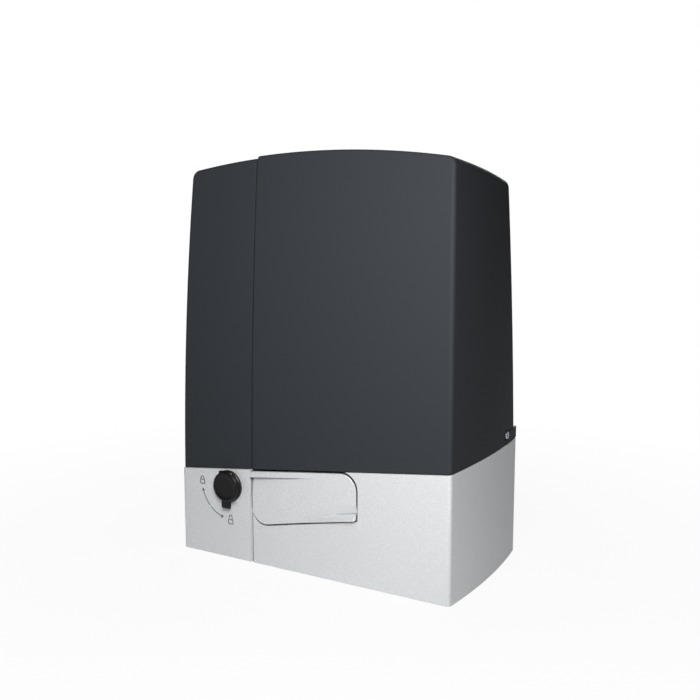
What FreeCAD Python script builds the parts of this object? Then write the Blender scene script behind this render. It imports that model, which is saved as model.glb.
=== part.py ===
"""Sliding gate operator: a cast base that is also the gear case, a motor on a worm and wheel,
a toothed pinion at the back, a manual release at the front and a lift-off moulded cover.

Frame: X to the right seen from the release side, Y from the front face to the pinion, Z up.
The origin is the centre of the four floor slots, on the underside of the base. Millimetres."""

import FreeCAD, Part
import math
import os
import re
import Sketcher

Vector = FreeCAD.Vector
doc = FreeCAD.newDocument("sliding_gate_operator")
sheet = doc.addObject("Spreadsheet::Sheet", "sizes")

SIZES = {
    "Envelope of the base and cover": {
        "half_depth": 74, "front_half_width": 132.6, "rear_half_width": 124, "side_bow": 590,
        "base_top": 112, "wall": 4, "floor_plate": 6, "corner_front": 3, "corner_rear": 2,
        "seam_mid": 88.7, "seam_angle": 6.65, "seam_gap": 0.6,
        "groove_left": -57.2, "groove_right": -54.8, "groove_deep": 1.5,
    },
    "Moulded cover": {
        "cover_wall": 3, "cover_step": 1.5, "cover_low": 50, "cover_high": 372,
        "front_bow": 3385, "front_bow_start": 40, "taper_bow": 5900, "taper_start": 40,
        "crown_height": 351.5, "crown_at": 17, "crown_bow": 760, "fall_bow": 1800, "fall_start": 0.105,
        "rear_lean": 0.058, "rear_lean_start": 104, "rear_inset": 2.8, "edge_round": 8, "front_edge": 3,
        "boss_front": 40, "boss_rise": 10.5, "screw_rise": 8, "notch_half": 48, "notch_top": 155,
    },
    "Fixing to the ground": {
        "slot_x": 98, "slot_y": 52, "slot_length": 26, "slot_wide": 11,
        "jack_x": 116, "jack_y": 62, "jack_bore": 4.1, "jack_radius": 4, "jack_boss": 8, "jack_top": 24,
        "entry_x": -85, "entry_y": -20, "entry_hole": 15, "entry_bore": 9,
    },
    "Gear case and output": {
        "shaft_z": 70, "wheel_y": 5, "case_left": -60, "case_right": 80, "case_front": -24,
        "case_back": 58, "case_top": 121, "case_wall": 6, "sump": 20, "chamber_front": -12,
        "chamber_back": 31, "tongue_half": 46, "tongue_top": 118,
        "wheel_module": 2.8, "wheel_teeth": 30, "wheel_wide": 16, "wheel_outer": 44, "wheel_root": 38.4,
        "worm_x": 55, "worm_outer": 15, "worm_root": 10, "worm_turns": 6, "worm_low": 43.6,
        "pinion_module": 4, "pinion_teeth": 17, "pinion_front": 84, "pinion_wide": 28,
        "shaft_front": 8.5, "shaft_rear": 10, "shaft_wheel": 14, "shaft_clutch": 12,
        "front_bearing": 17.5, "rear_bearing": 23.5, "flange_radius": 43, "flange_thick": 6,
        "running_fit": 0.05,
    },
    "Motor": {
        "lid_top": 133, "motor_half": 45, "tie_at": 38, "motor_radius": 45, "motor_top": 238,
        "motor_wall": 4, "stator_inner": 26, "rotor_radius": 25.2, "rotor_low": 152, "rotor_high": 222,
        "worm_shaft": 8.5, "worm_foot": 7.5, "worm_bearing_low": 16, "worm_bearing_high": 20,
    },
    "Manual release": {
        "lever_left": -54.8, "lever_right": 48.8, "lever_front": -74.6, "lever_thick": 2.6,
        "lever_gap": 1.3, "lever_low": 55.2, "lever_slope": 0.212, "lever_round": 14, "lip_proud": 4.2,
        "hinge_x": -22, "hinge_y": -68, "hinge_pin": 2.5, "knuckle": 4, "pocket_left": -60,
        "pocket_right": 51.5, "pocket_low": 32.7, "pocket_back": -33, "pocket_wall": 3, "rod_z": 24, "rod_radius": 3.5,
        "rod_front": -61.6, "rod_back": 40, "rod_travel": 6, "cam_low": 5, "cam_high": 11,
        "lock_x": -80.4, "lock_z": 64.5, "bezel_radius": 13.9, "barrel_radius": 10.5,
        "plug_radius": 8, "cap_radius": 13.3, "cap_thick": 3.2, "bezel_proud": 2.6, "cap_pivot_z": 12.3,
    },
    "Electrics": {
        "board_left": -118, "board_right": -2, "board_low": 130, "board_high": 290, "board_back": -44,
        "capacitor_x": -92, "capacitor_y": 18, "capacitor_radius": 18, "capacitor_top": 88,
        "limit_half": 46, "limit_front": 60, "limit_back": 78, "limit_low": 118.2, "limit_top": 152,
        "limit_pivot": 136,
    },
}
NAMES = {name for group in SIZES.values() for name in group}

row = 0
for title, group in SIZES.items():
    row += 1
    sheet.set(f"A{row}", title)
    for name, size in group.items():
        row += 1
        sheet.set(f"A{row}", name)
        sheet.set(f"B{row}", str(size))
        sheet.setAlias(f"B{row}", name)
doc.recompute()


def linked(text):
    """An expression on the sheet's cells as the rest of the document reads it."""
    return re.sub(r"[a-z]\w*", lambda word: "sizes." + word[0] if word[0] in NAMES else word[0], str(text))


def size(text):
    """The number that an expression on the sheet's cells has now."""
    return float(sheet.evalExpression(str(text)))


def bind(thing, prop, text):
    """Give a property its present value and tie it to the sheet."""
    thing.setExpression(prop, linked(text))


# ---------------------------------------------------------------- sketches and features

TURNS = {
    "XY": FreeCAD.Rotation(),
    "XZ": FreeCAD.Rotation(Vector(1, 0, 0), 90),
    "YZ": FreeCAD.Rotation(Vector(1, 1, 1), 120),
}


def new_body(name):
    """An empty body whose separate lumps may stay apart."""
    body = doc.addObject("PartDesign::Body", name)
    body.Label = name
    body.AllowCompound = True
    return body


def new_sketch(body, plane, shift=("0", "0", "0")):
    """A sketch on one of the body's origin planes, shifted by expressions along its own axes."""
    base = [item for item in body.Origin.OriginFeatures if item.Role == plane + "_Plane"][0]
    sketch = body.newObject("Sketcher::SketchObject", body.Name + "_sketch")
    sketch.AttachmentSupport = [(base, "")]
    sketch.MapMode = "FlatFace"
    for axis, text in zip("xyz", shift):
        bind(sketch, "AttachmentOffset.Base." + axis, text)
    return sketch


def pin_point(sketch, index, vertex, spot):
    """Tie one end of a sketch line to a place given as two expressions."""
    for kind, text in zip(("DistanceX", "DistanceY"), spot):
        rule = sketch.addConstraint(Sketcher.Constraint(kind, -1, 1, index, vertex, size(text)))
        bind(sketch, f"Constraints[{rule}]", text)


def outline(sketch, corners):
    """Closed outline through corners (x, y) or (x, y, radius).

    A radius bends the side that leaves its corner: to the right of travel where it is
    negative, to the left where it is positive, so a positive one turns counter-clockwise."""
    spots = [Vector(size(corner[0]), size(corner[1]), 0) for corner in corners]
    ends = []
    for number, corner in enumerate(corners):
        start, stop = spots[number], spots[(number + 1) % len(spots)]
        if len(corner) == 2:
            index = sketch.addGeometry(Part.LineSegment(start, stop))
            ends.append((index, 1, 2))
            continue
        radius = size(corner[2])
        along = stop.sub(start)
        left = Vector(-along.y, along.x, 0).normalize()
        reach = math.sqrt(radius ** 2 - (along.Length / 2) ** 2)
        centre = (start + stop) * 0.5 + left * math.copysign(reach, radius)
        first, last = (start, stop) if radius > 0 else (stop, start)
        angles = [math.atan2(spot.y - centre.y, spot.x - centre.x) for spot in (first, last)]
        circle = Part.Circle(centre, Vector(0, 0, 1), abs(radius))
        index = sketch.addGeometry(Part.ArcOfCircle(circle, angles[0], angles[1]))
        ends.append((index, 1, 2) if radius > 0 else (index, 2, 1))
    for number, (index, first, last) in enumerate(ends):
        follower = ends[(number + 1) % len(ends)]
        sketch.addConstraint(Sketcher.Constraint("Coincident", index, last, follower[0], follower[1]))
        pin_point(sketch, index, first, corners[number])
        if len(corners[number]) == 3:
            rule = sketch.addConstraint(Sketcher.Constraint("Radius", index, abs(size(corners[number][2]))))
            bind(sketch, f"Constraints[{rule}]", f"abs({corners[number][2]})")
    return sketch


def rectangle(sketch, left, low, right, high):
    """Rectangle between two corners."""
    return outline(sketch, [(left, low), (right, low), (right, high), (left, high)])


def circle(sketch, x, y, radius):
    """Whole circle."""
    spot = Vector(size(x), size(y), 0)
    index = sketch.addGeometry(Part.Circle(spot, Vector(0, 0, 1), size(radius)))
    pin_point(sketch, index, 3, (x, y))
    rule = sketch.addConstraint(Sketcher.Constraint("Radius", index, size(radius)))
    bind(sketch, f"Constraints[{rule}]", radius)
    return sketch


def slot(sketch, x, y, half_length, half_wide):
    """Round-ended slot along the sketch's first axis."""
    straight = f"({half_length} - {half_wide})"
    return outline(sketch, [
        (f"{x} - {straight}", f"{y} - {half_wide}"),
        (f"{x} + {straight}", f"{y} - {half_wide}", f"{half_wide} * 1.0001"),
        (f"{x} + {straight}", f"{y} + {half_wide}"),
        (f"{x} - {straight}", f"{y} + {half_wide}", f"{half_wide} * 1.0001"),
    ])


def feature(body, kind, sketch, removes, **settings):
    """A feature on a sketch. It has to change the body's volume the way it is meant to."""
    before = body.Shape.Volume if body.Shape and not body.Shape.isNull() else 0.0
    made = body.newObject("PartDesign::" + kind, f"{body.Name}_{kind.lower()}")
    made.Profile = sketch
    for prop, text in settings.items():
        if isinstance(text, str) and prop in ("Length", "Angle", "TaperAngle"):
            bind(made, prop, text)
        else:
            setattr(made, prop, text)
    doc.recompute()
    change = body.Shape.Volume - before
    if (change > -0.01 and removes) or (change < 0.01 and not removes):
        raise ValueError(f"{made.Name} changes the volume by {change:.2f}")
    return made


def pad(body, sketch, length, **settings):
    """Add material from a sketch, along its plane's normal."""
    return feature(body, "Pad", sketch, False, Length=length, **settings)


def cut(body, sketch, length, **settings):
    """Take material away from a sketch, against its plane's normal."""
    return feature(body, "Pocket", sketch, True, Length=length, **settings)


def cut_through(body, sketch):
    """Take the sketch's outline away over the body's whole length, both ways."""
    return feature(body, "Pocket", sketch, True, Type="ThroughAll", SideType="Symmetric")


def revolve(body, sketch, axis, angle="360", both=False, removes=False):
    """Turn a sketch round its own H_Axis or V_Axis."""
    kind = "Groove" if removes else "Revolution"
    return feature(body, kind, sketch, removes, ReferenceAxis=(sketch, [axis]), Angle=angle, Midplane=both)


def repeat(body, made, kind, **settings):
    """Pattern a feature: PolarPattern, LinearPattern or Mirrored."""
    pattern = body.newObject("PartDesign::" + kind, f"{body.Name}_{kind.lower()}")
    pattern.Originals = [made]
    for prop, text in settings.items():
        if prop == "Occurrences":
            bind(pattern, prop, text)
        else:
            setattr(pattern, prop, text)
    body.Tip = pattern
    doc.recompute()
    return pattern


def origin_item(body, role):
    """One of the body's own origin planes or axes."""
    return [item for item in body.Origin.OriginFeatures if item.Role == role][0]


def round_edges(body, radius, chosen, kind="Fillet"):
    """Round or chamfer the edges that a test picks."""
    edges = [f"Edge{number + 1}" for number, edge in enumerate(body.Tip.Shape.Edges) if chosen(edge)]
    if not edges:
        raise ValueError(f"no edges to round on {body.Name}")
    made = body.newObject("PartDesign::" + kind, f"{body.Name}_{kind.lower()}")
    made.Base = (body.Tip if body.Tip != made else made.BaseFeature, edges)
    bind(made, "Radius" if kind == "Fillet" else "Size", radius)
    doc.recompute()
    return made


def place(thing, x="0", y="0", z="0", turn=None):
    """Seat a sub-part, tied to the sheet; turn is its rotation."""
    if turn is not None:
        thing.Placement = FreeCAD.Placement(Vector(), turn)
    for axis, text in zip("xyz", (x, y, z)):
        bind(thing, "Placement.Base." + axis, text)
    return thing


def boolean(kind, label, first, second):
    """Part boolean of two objects."""
    made = doc.addObject("Part::" + kind, label)
    made.Label = label
    made.Base = first
    made.Tool = second
    doc.recompute()
    return made


# ---------------------------------------------------------------- the outer form

HALF_CHORD = "sqrt(half_depth ^ 2 + ((front_half_width - rear_half_width) / 2) ^ 2)"
BOW_REACH = f"sqrt(side_bow ^ 2 - {HALF_CHORD} ^ 2)"
BOW_X = f"((front_half_width + rear_half_width) / 2 - {BOW_REACH} * half_depth / {HALF_CHORD})"
BOW_Y = f"(-{BOW_REACH} * (front_half_width - rear_half_width) / 2 / {HALF_CHORD})"
SEAM_SLOPE = "tan(seam_angle * 1deg)"


def seam(x, lift="0"):
    """Height of the joint between base and cover at x, raised by lift."""
    return f"seam_mid + ({x}) * {SEAM_SLOPE} + ({lift})"



def plan(sketch, inset="0"):
    """Plan of the housing: flat front and back, both sides gently bowed."""
    front = f"front_half_width - ({inset})"
    rear = f"rear_half_width - ({inset})"
    near = f"-half_depth + ({inset})"
    far = f"half_depth - ({inset})"
    bow = f"side_bow - ({inset})"
    return outline(sketch, [
        (f"-({front})", near), (front, near, bow), (rear, far), (f"-({rear})", far, bow)])


def upright(edge, x_sign=None, y_sign=None):
    """True for an upright edge, on the side of the part that the signs ask for."""
    low, high = edge.BoundBox.ZMin, edge.BoundBox.ZMax
    spread = max(edge.BoundBox.XLength, edge.BoundBox.YLength)
    middle = edge.BoundBox.Center
    if high - low < 30 or spread > 0.35 * (high - low):
        return False
    return (x_sign is None or middle.x * x_sign > 100) and (y_sign is None or middle.y * y_sign > 40)


def crown(edge):
    """True for an edge that runs along the top."""
    box = edge.BoundBox
    return box.ZMin > 300 and box.XLength + box.YLength > 60


def cover_form(name, side, front, rear_round="0", front_round="0"):
    """Closed form of the moulding: tapered bowed sides, front leaning back in an arc, crowned
    top that falls to the back. side is the inset of the sides and back, front that of the front
    and top."""
    body = new_body(name)
    block = new_sketch(body, "XY", ("0", "0", "cover_low"))
    rectangle(block, "-front_half_width - 5", "-half_depth - 5", "front_half_width + 5", "half_depth + 5")
    pad(body, block, "cover_high - cover_low")

    taper = new_sketch(body, "XZ", (BOW_X, "0", f"-{BOW_Y}"))
    bow = f"(side_bow - ({side}))"
    lost = "(cover_high - taper_start) ^ 2 / (2 * taper_bow)"
    outline(taper, [
        (bow, "taper_start", "taper_bow"), (f"{bow} - {lost}", "cover_high"),
        (f"{bow} + 20", "cover_high"), (f"{bow} + 20", "taper_start")])
    side_cut = revolve(body, taper, "V_Axis", "34", both=True, removes=True)
    repeat(body, side_cut, "Mirrored", MirrorPlane=(origin_item(body, "YZ_Plane"), [""]))

    lean = new_sketch(body, "YZ")
    near = f"(-half_depth + ({front}))"
    back_set = "(cover_high - front_bow_start) ^ 2 / (2 * front_bow)"
    outline(lean, [
        (near, "front_bow_start", "-front_bow"), (f"{near} + {back_set}", "cover_high"),
        ("-half_depth - 20", "cover_high"), ("-half_depth - 20", "front_bow_start")])
    cut_through(body, lean)

    back = new_sketch(body, "YZ")
    far = f"(half_depth - rear_inset - ({side}))"
    outline(back, [
        (far, "cover_low"), (far, "rear_lean_start"),
        (f"{far} - rear_lean * (cover_high - rear_lean_start)", "cover_high"),
        ("half_depth + 20", "cover_high"), ("half_depth + 20", "cover_low")])
    cut_through(body, back)

    top = new_sketch(body, "YZ", ("0", "crown_height - crown_bow", "crown_at"))
    level = f"(crown_bow - ({front}))"
    run = "(2 * half_depth)"
    drop = f"(fall_start * {run} + {run} ^ 2 / (2 * fall_bow))"
    outline(top, [
        ("half_depth", f"{level} - {drop}", "fall_bow"), ("-half_depth", level),
        ("-half_depth - 20", level), ("-half_depth - 20", f"{level} + 60"),
        ("half_depth + 20", f"{level} + 60"), ("half_depth + 20", f"{level} - {drop}")])
    revolve(body, top, "H_Axis", "34", both=True, removes=True)

    if size(rear_round) > 0:
        round_edges(body, rear_round, lambda edge: upright(edge, y_sign=1))
        round_edges(body, rear_round, lambda edge: crown(edge) and edge.BoundBox.YMax > 0)
    if size(front_round) > 0:
        round_edges(body, front_round, lambda edge: edge.BoundBox.YMax < -50 and edge.BoundBox.ZMax > 100)
    return body


def seam_wedge(name, lift):
    """Everything under the slanted joint between base and cover, raised by an expression."""
    body = new_body(name)
    line = new_sketch(body, "XZ", ("0", "0", "-half_depth - 40"))
    reach = "(front_half_width + 20)"
    outline(line, [
        (f"-{reach}", "-10"), (reach, "-10"), (reach, seam(reach, lift)),
        (f"-{reach}", seam(f"-{reach}", lift))])
    pad(body, line, "2 * half_depth + 80")
    return body


def fused(label, *pieces):
    """Part union of several objects."""
    made = doc.addObject("Part::MultiFuse", label)
    made.Label = label
    made.Shapes = list(pieces)
    doc.recompute()
    return made


def slab(name, left, near, low, right, far, high):
    """Plain block between two corners given as expressions."""
    made = doc.addObject("Part::Box", name)
    for prop, text in (("Length", f"({right}) - ({left})"), ("Width", f"({far}) - ({near})"),
                       ("Height", f"({high}) - ({low})")):
        bind(made, prop, text)
    return place(made, left, near, low)


def rod(name, x, y, z, radius, length, turn=None):
    """Plain cylinder that starts at a point; turn leads it off the upright."""
    made = doc.addObject("Part::Cylinder", name)
    bind(made, "Radius", radius)
    bind(made, "Height", length)
    return place(made, x, y, z, turn)


TO_BACK = FreeCAD.Rotation(Vector(1, 0, 0), -90)
TO_FRONT = FreeCAD.Rotation(Vector(1, 0, 0), 90)
TO_RIGHT = FreeCAD.Rotation(Vector(0, 1, 0), 90)
TO_LEFT = FreeCAD.Rotation(Vector(0, 1, 0), -90)
DOWN = FreeCAD.Rotation(Vector(1, 0, 0), 180)


def turned(label, profile, x="0", y="0", z="0", turn=None):
    """Turned piece from a closed (radius, height) profile, seated with its axis on turn."""
    body = new_body(label)
    revolve(body, outline(new_sketch(body, "XZ"), profile), "V_Axis")
    return place(body, x, y, z, turn)


def ring(label, inner, outer, height, x="0", y="0", z="0", turn=None):
    """Plain ring or bearing."""
    return turned(label, [(inner, "0"), (outer, "0"), (outer, height), (inner, height)], x, y, z, turn)


def screw(label, head_radius, head_height, shank_radius, shank_length, drive="1.2"):
    """Cylinder-head screw with its seat at z = 0 and its shank downwards, hollow where it is driven."""
    return turned(label, [
        ("0", f"-({shank_length})"), (shank_radius, f"-({shank_length})"), (shank_radius, "0"),
        (head_radius, "0"), (head_radius, f"{head_height} - 0.4"), (f"{head_radius} - 0.4", head_height),
        (f"{head_radius} * 0.5", head_height), (f"{head_radius} * 0.5", f"{head_height} - {drive}"),
        ("0", f"{head_height} - {drive}")])


def group(label, source, places, turn=None):
    """One node of like pieces: links to one body at several places."""
    links = []
    for number, spot in enumerate(places):
        link = doc.addObject("App::Link", f"{label}_{number + 1}")
        link.LinkedObject = source
        place(link, *spot[:3], turn=spot[3] if len(spot) > 3 else turn)
        links.append(link)
    made = doc.addObject("Part::Compound", label)
    made.Label = label
    made.Links = links
    doc.recompute()
    return made


# ---------------------------------------------------------------- base

LEVER_CLEAR = "0.8"
POCKET_SCREWS = [("-69", "38"), ("60", "60"), ("60", "84")]
CASE_BOLTS = [("-68", "8"), ("-68", "50"), ("87", "-14"), ("87", "34")]
LID_SCREWS = [(x, y) for x in ("case_left + 3", "0", "case_right - 3") for y in ("case_front + 6", "case_back - 3")]


def lever_outline(sketch, grow, top):
    """Outline of the release lever in the front plane, grown all round; top is its upper edge's
    drop under the joint line. The lower left and upper right corners are round."""
    left = f"(lever_left - {grow} * 1.6)"
    right = f"(lever_right + {grow})"
    low_at = f"(lever_left + lever_round)"
    bottom = f"(lever_low - lever_slope * (lever_right - {low_at}) - {grow})"
    arc_x = f"({right} - lever_round)"
    return outline(sketch, [
        (left, f"{bottom} + lever_round * 0.9", "lever_round * 1.1"), (low_at, bottom),
        (right, f"lever_low - {grow}"), (right, f"{seam(arc_x, '0')} - lever_round", "lever_round * 1.05"),
        (arc_x, seam(arc_x, f"-({top})")), (left, seam(left, f"-({top})"))])


def base_housing():
    """Die-cast base: outer wall cut on the slant, floor with slots, opening for the release lever,
    lock boss, notch for the gear case at the back and the lugs that take the cover's screws."""
    body = new_body("base_housing")
    pad(body, plan(new_sketch(body, "XY")), "base_top")
    cut(body, plan(new_sketch(body, "XY", ("0", "0", "base_top")), "wall"), "base_top - floor_plate")

    bosses = new_sketch(body, "XZ", ("0", "0", "half_depth - wall + 1"))
    for x, z in POCKET_SCREWS:
        circle(bosses, x, z, "4.5")
    pad(body, bosses, "7", Reversed=True)
    above = new_sketch(body, "XZ")
    reach = "(front_half_width + 20)"
    outline(above, [
        (f"-{reach}", seam(f"-{reach}")), (reach, seam(reach)),
        (reach, "base_top + 20"), (f"-{reach}", "base_top + 20")])
    cut_through(body, above)

    opening = new_sketch(body, "XZ", ("0", "0", "half_depth + 1"))
    lever_outline(opening, "lever_gap", "-0.5")
    cut(body, opening, "wall + 1")
    rear_notch = new_sketch(body, "XZ", ("0", "0", "-half_depth - 1"))
    rectangle(rear_notch, "-tongue_half - 0.3", "floor_plate", "tongue_half + 0.3", "base_top + 5")
    cut(body, rear_notch, "wall + 2", Reversed=True)

    lock_boss = new_sketch(body, "XZ", ("0", "0", "half_depth - 1"))
    circle(lock_boss, "lock_x", "lock_z", "barrel_radius + 3")
    pad(body, lock_boss, "20", Reversed=True)
    lock_bore = new_sketch(body, "XZ", ("0", "0", "half_depth + 1"))
    circle(lock_bore, "lock_x", "lock_z", "barrel_radius")
    cut(body, lock_bore, "30")
    threads = new_sketch(body, "XZ", ("0", "0", "half_depth - wall - 7"))
    for x, z in POCKET_SCREWS:
        circle(threads, x, z, "2.05")
    cut(body, threads, "7.5", Reversed=True)
    cam_room = new_sketch(body, "XY", ("0", "0", "rod_z + 18"))
    circle(cam_room, "hinge_x", "hinge_y", "4.3")
    cut(body, cam_room, "24")

    slots = new_sketch(body, "XY", ("0", "0", "floor_plate"))
    for x in ("-slot_x", "slot_x"):
        for y in ("-slot_y", "slot_y"):
            slot(slots, x, y, "slot_length / 2", "slot_wide / 2")
    circle(slots, "entry_x", "entry_y", "entry_hole")
    cut(body, slots, "floor_plate + 1")
    case_threads = new_sketch(body, "XY", ("0", "0", "floor_plate"))
    for x, y in CASE_BOLTS:
        circle(case_threads, x, y, "3.05")
    cut(body, case_threads, "floor_plate - 1")
    jacks = new_sketch(body, "XY")
    for x in ("-jack_x", "jack_x"):
        for y in ("-jack_y", "jack_y"):
            circle(jacks, x, y, "jack_boss")
    pad(body, jacks, "jack_top")
    jack_bores = new_sketch(body, "XY", ("0", "0", "jack_top + 1"))
    for x in ("-jack_x", "jack_x"):
        for y in ("-jack_y", "jack_y"):
            circle(jack_bores, x, y, "jack_bore")
    cut(body, jack_bores, "jack_top + 2")

    for mark in ("-", ""):
        outer, inner = f"{mark}121.5", f"{mark}112"
        left, right = (outer, inner) if mark else (inner, outer)
        top = seam(f"{mark}front_half_width", "screw_rise + 5")
        lug = new_sketch(body, "XY")
        rectangle(lug, left, "boss_front - 4", right, "boss_front + 6")
        pad(body, lug, top)
        notch = new_sketch(body, "YZ", ("0", "0", left))
        rectangle(notch, "boss_front - 1.8", seam(f"{mark}front_half_width", "screw_rise - 2.8"),
                  "boss_front + 3.8", f"{top} + 1")
        cut(body, notch, "10", Reversed=True)

    front_groove = new_sketch(body, "XY")
    rectangle(front_groove, "groove_left", "-half_depth - 1", "groove_right", "-half_depth + groove_deep")
    cut(body, front_groove, "60", Reversed=True)
    round_edges(body, "corner_front", lambda edge: upright(edge, y_sign=-1) and abs(edge.BoundBox.Center.x) > 128)
    round_edges(body, "corner_rear", lambda edge: upright(edge, y_sign=1) and abs(edge.BoundBox.Center.x) > 122
                and edge.BoundBox.YMin > 72)
    return body


def lever_pocket():
    """Cast tray behind the lever's opening. It carries the hinge pin in its floor and roof, and the
    roof stops short over the lever's tail, which swings in there."""
    body = new_body("lever_pocket")
    left, right = "pocket_left - pocket_wall", "pocket_right + pocket_wall"
    low, step = "pocket_low", "hinge_x + 5"
    front = "half_depth - wall"
    block = new_sketch(body, "XZ", ("0", "0", front))
    outline(block, [
        (left, f"{low} - pocket_wall"), (step, f"{low} - pocket_wall"), (right, "lever_low - 3.5"),
        (right, seam(right, "-1")), (left, seam(left, "-1"))])
    pad(body, block, "half_depth - wall + pocket_back + pocket_wall", Reversed=True)
    hollow = new_sketch(body, "XZ", ("0", "0", front))
    outline(hollow, [
        ("pocket_left", low), (step, low), ("pocket_right", "lever_low - 0.5"),
        ("pocket_right", seam("pocket_right", "-4.2")), ("pocket_left", seam("pocket_left", "-4.2"))])
    cut(body, hollow, "half_depth - wall + pocket_back")
    roof = new_sketch(body, "XY", ("0", "0", "base_top"))
    outline(roof, [
        ("pocket_left", "hinge_y - 3.3"), ("pocket_left", "-half_depth"), ("pocket_right", "-half_depth"),
        ("pocket_right", "hinge_y - 3.3"), ("hinge_x - 1.5", "hinge_y - 3.3"), ("hinge_x - 3.6", "hinge_y"),
        ("hinge_x - 3.6", "pocket_back"), ("pocket_left", "pocket_back")])
    cut(body, roof, "base_top - 60")
    ears = new_sketch(body, "XZ", ("0", "0", "half_depth - wall - 6"))
    for number, (x, z) in enumerate(POCKET_SCREWS):
        inner = f"{left} + 1" if number == 0 else f"{right} - 1"
        spots = sorted((f"{x} - 5", f"{x} + 5", inner), key=size)
        rectangle(ears, spots[0], f"{z} - 5", spots[-1], f"{z} + 5")
    pad(body, ears, "3", Reversed=True)
    ways = new_sketch(body, "XZ", ("0", "0", "half_depth - wall - 5"))
    for x, z in POCKET_SCREWS:
        circle(ways, x, z, "2.3")
    cut(body, ways, "5")
    hinge_bore = new_sketch(body, "XY", ("0", "0", "base_top"))
    circle(hinge_bore, "hinge_x", "hinge_y", "hinge_pin + running_fit")
    cut(body, hinge_bore, "base_top")
    return body


def gear_case():
    """Cast gear case bolted to the floor: sump, chamber for the wheel, bearing seats and the rear
    face that fills the base's notch and carries the bearing flange."""
    body = new_body("gear_case")
    block = new_sketch(body, "XY", ("0", "0", "floor_plate"))
    rectangle(block, "case_left", "case_front", "case_right", "case_back")
    pad(body, block, "case_top - floor_plate")
    tongue = new_sketch(body, "XY", ("0", "0", "floor_plate"))
    rectangle(tongue, "-tongue_half", "case_back - 1", "tongue_half", "half_depth")
    pad(body, tongue, "tongue_top - floor_plate")
    for x, y in CASE_BOLTS:
        side = "case_left + 1" if size(x) < 0 else "case_right - 1"
        lug = new_sketch(body, "XY", ("0", "0", "floor_plate"))
        corners = [(side, f"{y} - 6.5"), (x, f"{y} - 6.5", "6.501"), (x, f"{y} + 6.5"), (side, f"{y} + 6.5")]
        if size(x) < 0:
            corners = [(x, f"{y} + 6.5", "6.501"), (x, f"{y} - 6.5"), (side, f"{y} - 6.5"), (side, f"{y} + 6.5")]
        outline(lug, corners)
        pad(body, lug, "9")
    chamber = new_sketch(body, "XY", ("0", "0", "case_top"))
    rectangle(chamber, "case_left + case_wall", "chamber_front", "case_right - case_wall", "chamber_back")
    cut(body, chamber, "case_top - sump")
    fork_well = new_sketch(body, "XY", ("0", "0", "sump + 1"))
    rectangle(fork_well, "hinge_x - 7.6", "12", "hinge_x + 7.6", "chamber_back")
    cut(body, fork_well, "4.6")
    for left, right in (("case_left + case_wall", "-rear_bearing - 4"), ("rear_bearing + 4", "case_right - case_wall")):
        pit = new_sketch(body, "XY", ("0", "0", "case_top"))
        rectangle(pit, left, "chamber_back + case_wall", right, "case_back - 4")
        cut(body, pit, "case_top - sump - 20")
    bolt_ways = new_sketch(body, "XY", ("0", "0", "case_top"))
    for x, y in CASE_BOLTS:
        circle(bolt_ways, x, y, "3.3")
    cut(body, bolt_ways, "case_top")

    shaft_bore = new_sketch(body, "YZ", ("0", "shaft_z", "0"))
    outline(shaft_bore, [
        ("chamber_front - 10", "0"), ("chamber_front - 10", "front_bearing"),
        ("chamber_front", "front_bearing"), ("chamber_front", "shaft_wheel + 1"),
        ("case_back", "shaft_wheel + 1"), ("case_back", "rear_bearing"),
        ("half_depth + 1", "rear_bearing"), ("half_depth + 1", "0")])
    revolve(body, shaft_bore, "H_Axis", removes=True)
    worm_seat = new_sketch(body, "XZ", ("worm_x", "0", "-wheel_y"))
    outline(worm_seat, [
        ("0", "sump - 10"), ("worm_bearing_low", "sump - 10"), ("worm_bearing_low", "sump + 1"), ("0", "sump + 1")])
    revolve(body, worm_seat, "V_Axis", removes=True)
    rod_bore = new_sketch(body, "XZ", ("0", "0", "-case_front + 8"))
    circle(rod_bore, "hinge_x", "rod_z", "rod_radius + running_fit")
    cut(body, rod_bore, "rod_back + rod_travel + 2 - case_front + 8")
    flange_holes = new_sketch(body, "XZ", ("0", "0", "-half_depth"))
    for x in ("-26", "26"):
        for z in ("shaft_z - 26", "shaft_z + 26"):
            circle(flange_holes, x, z, "2.6")
    cut(body, flange_holes, "14", Reversed=True)
    lid_holes = new_sketch(body, "XY", ("0", "0", "case_top"))
    for x, y in LID_SCREWS:
        circle(lid_holes, x, y, "2.1")
    cut(body, lid_holes, "12")
    return body


# ---------------------------------------------------------------- cover

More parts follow.
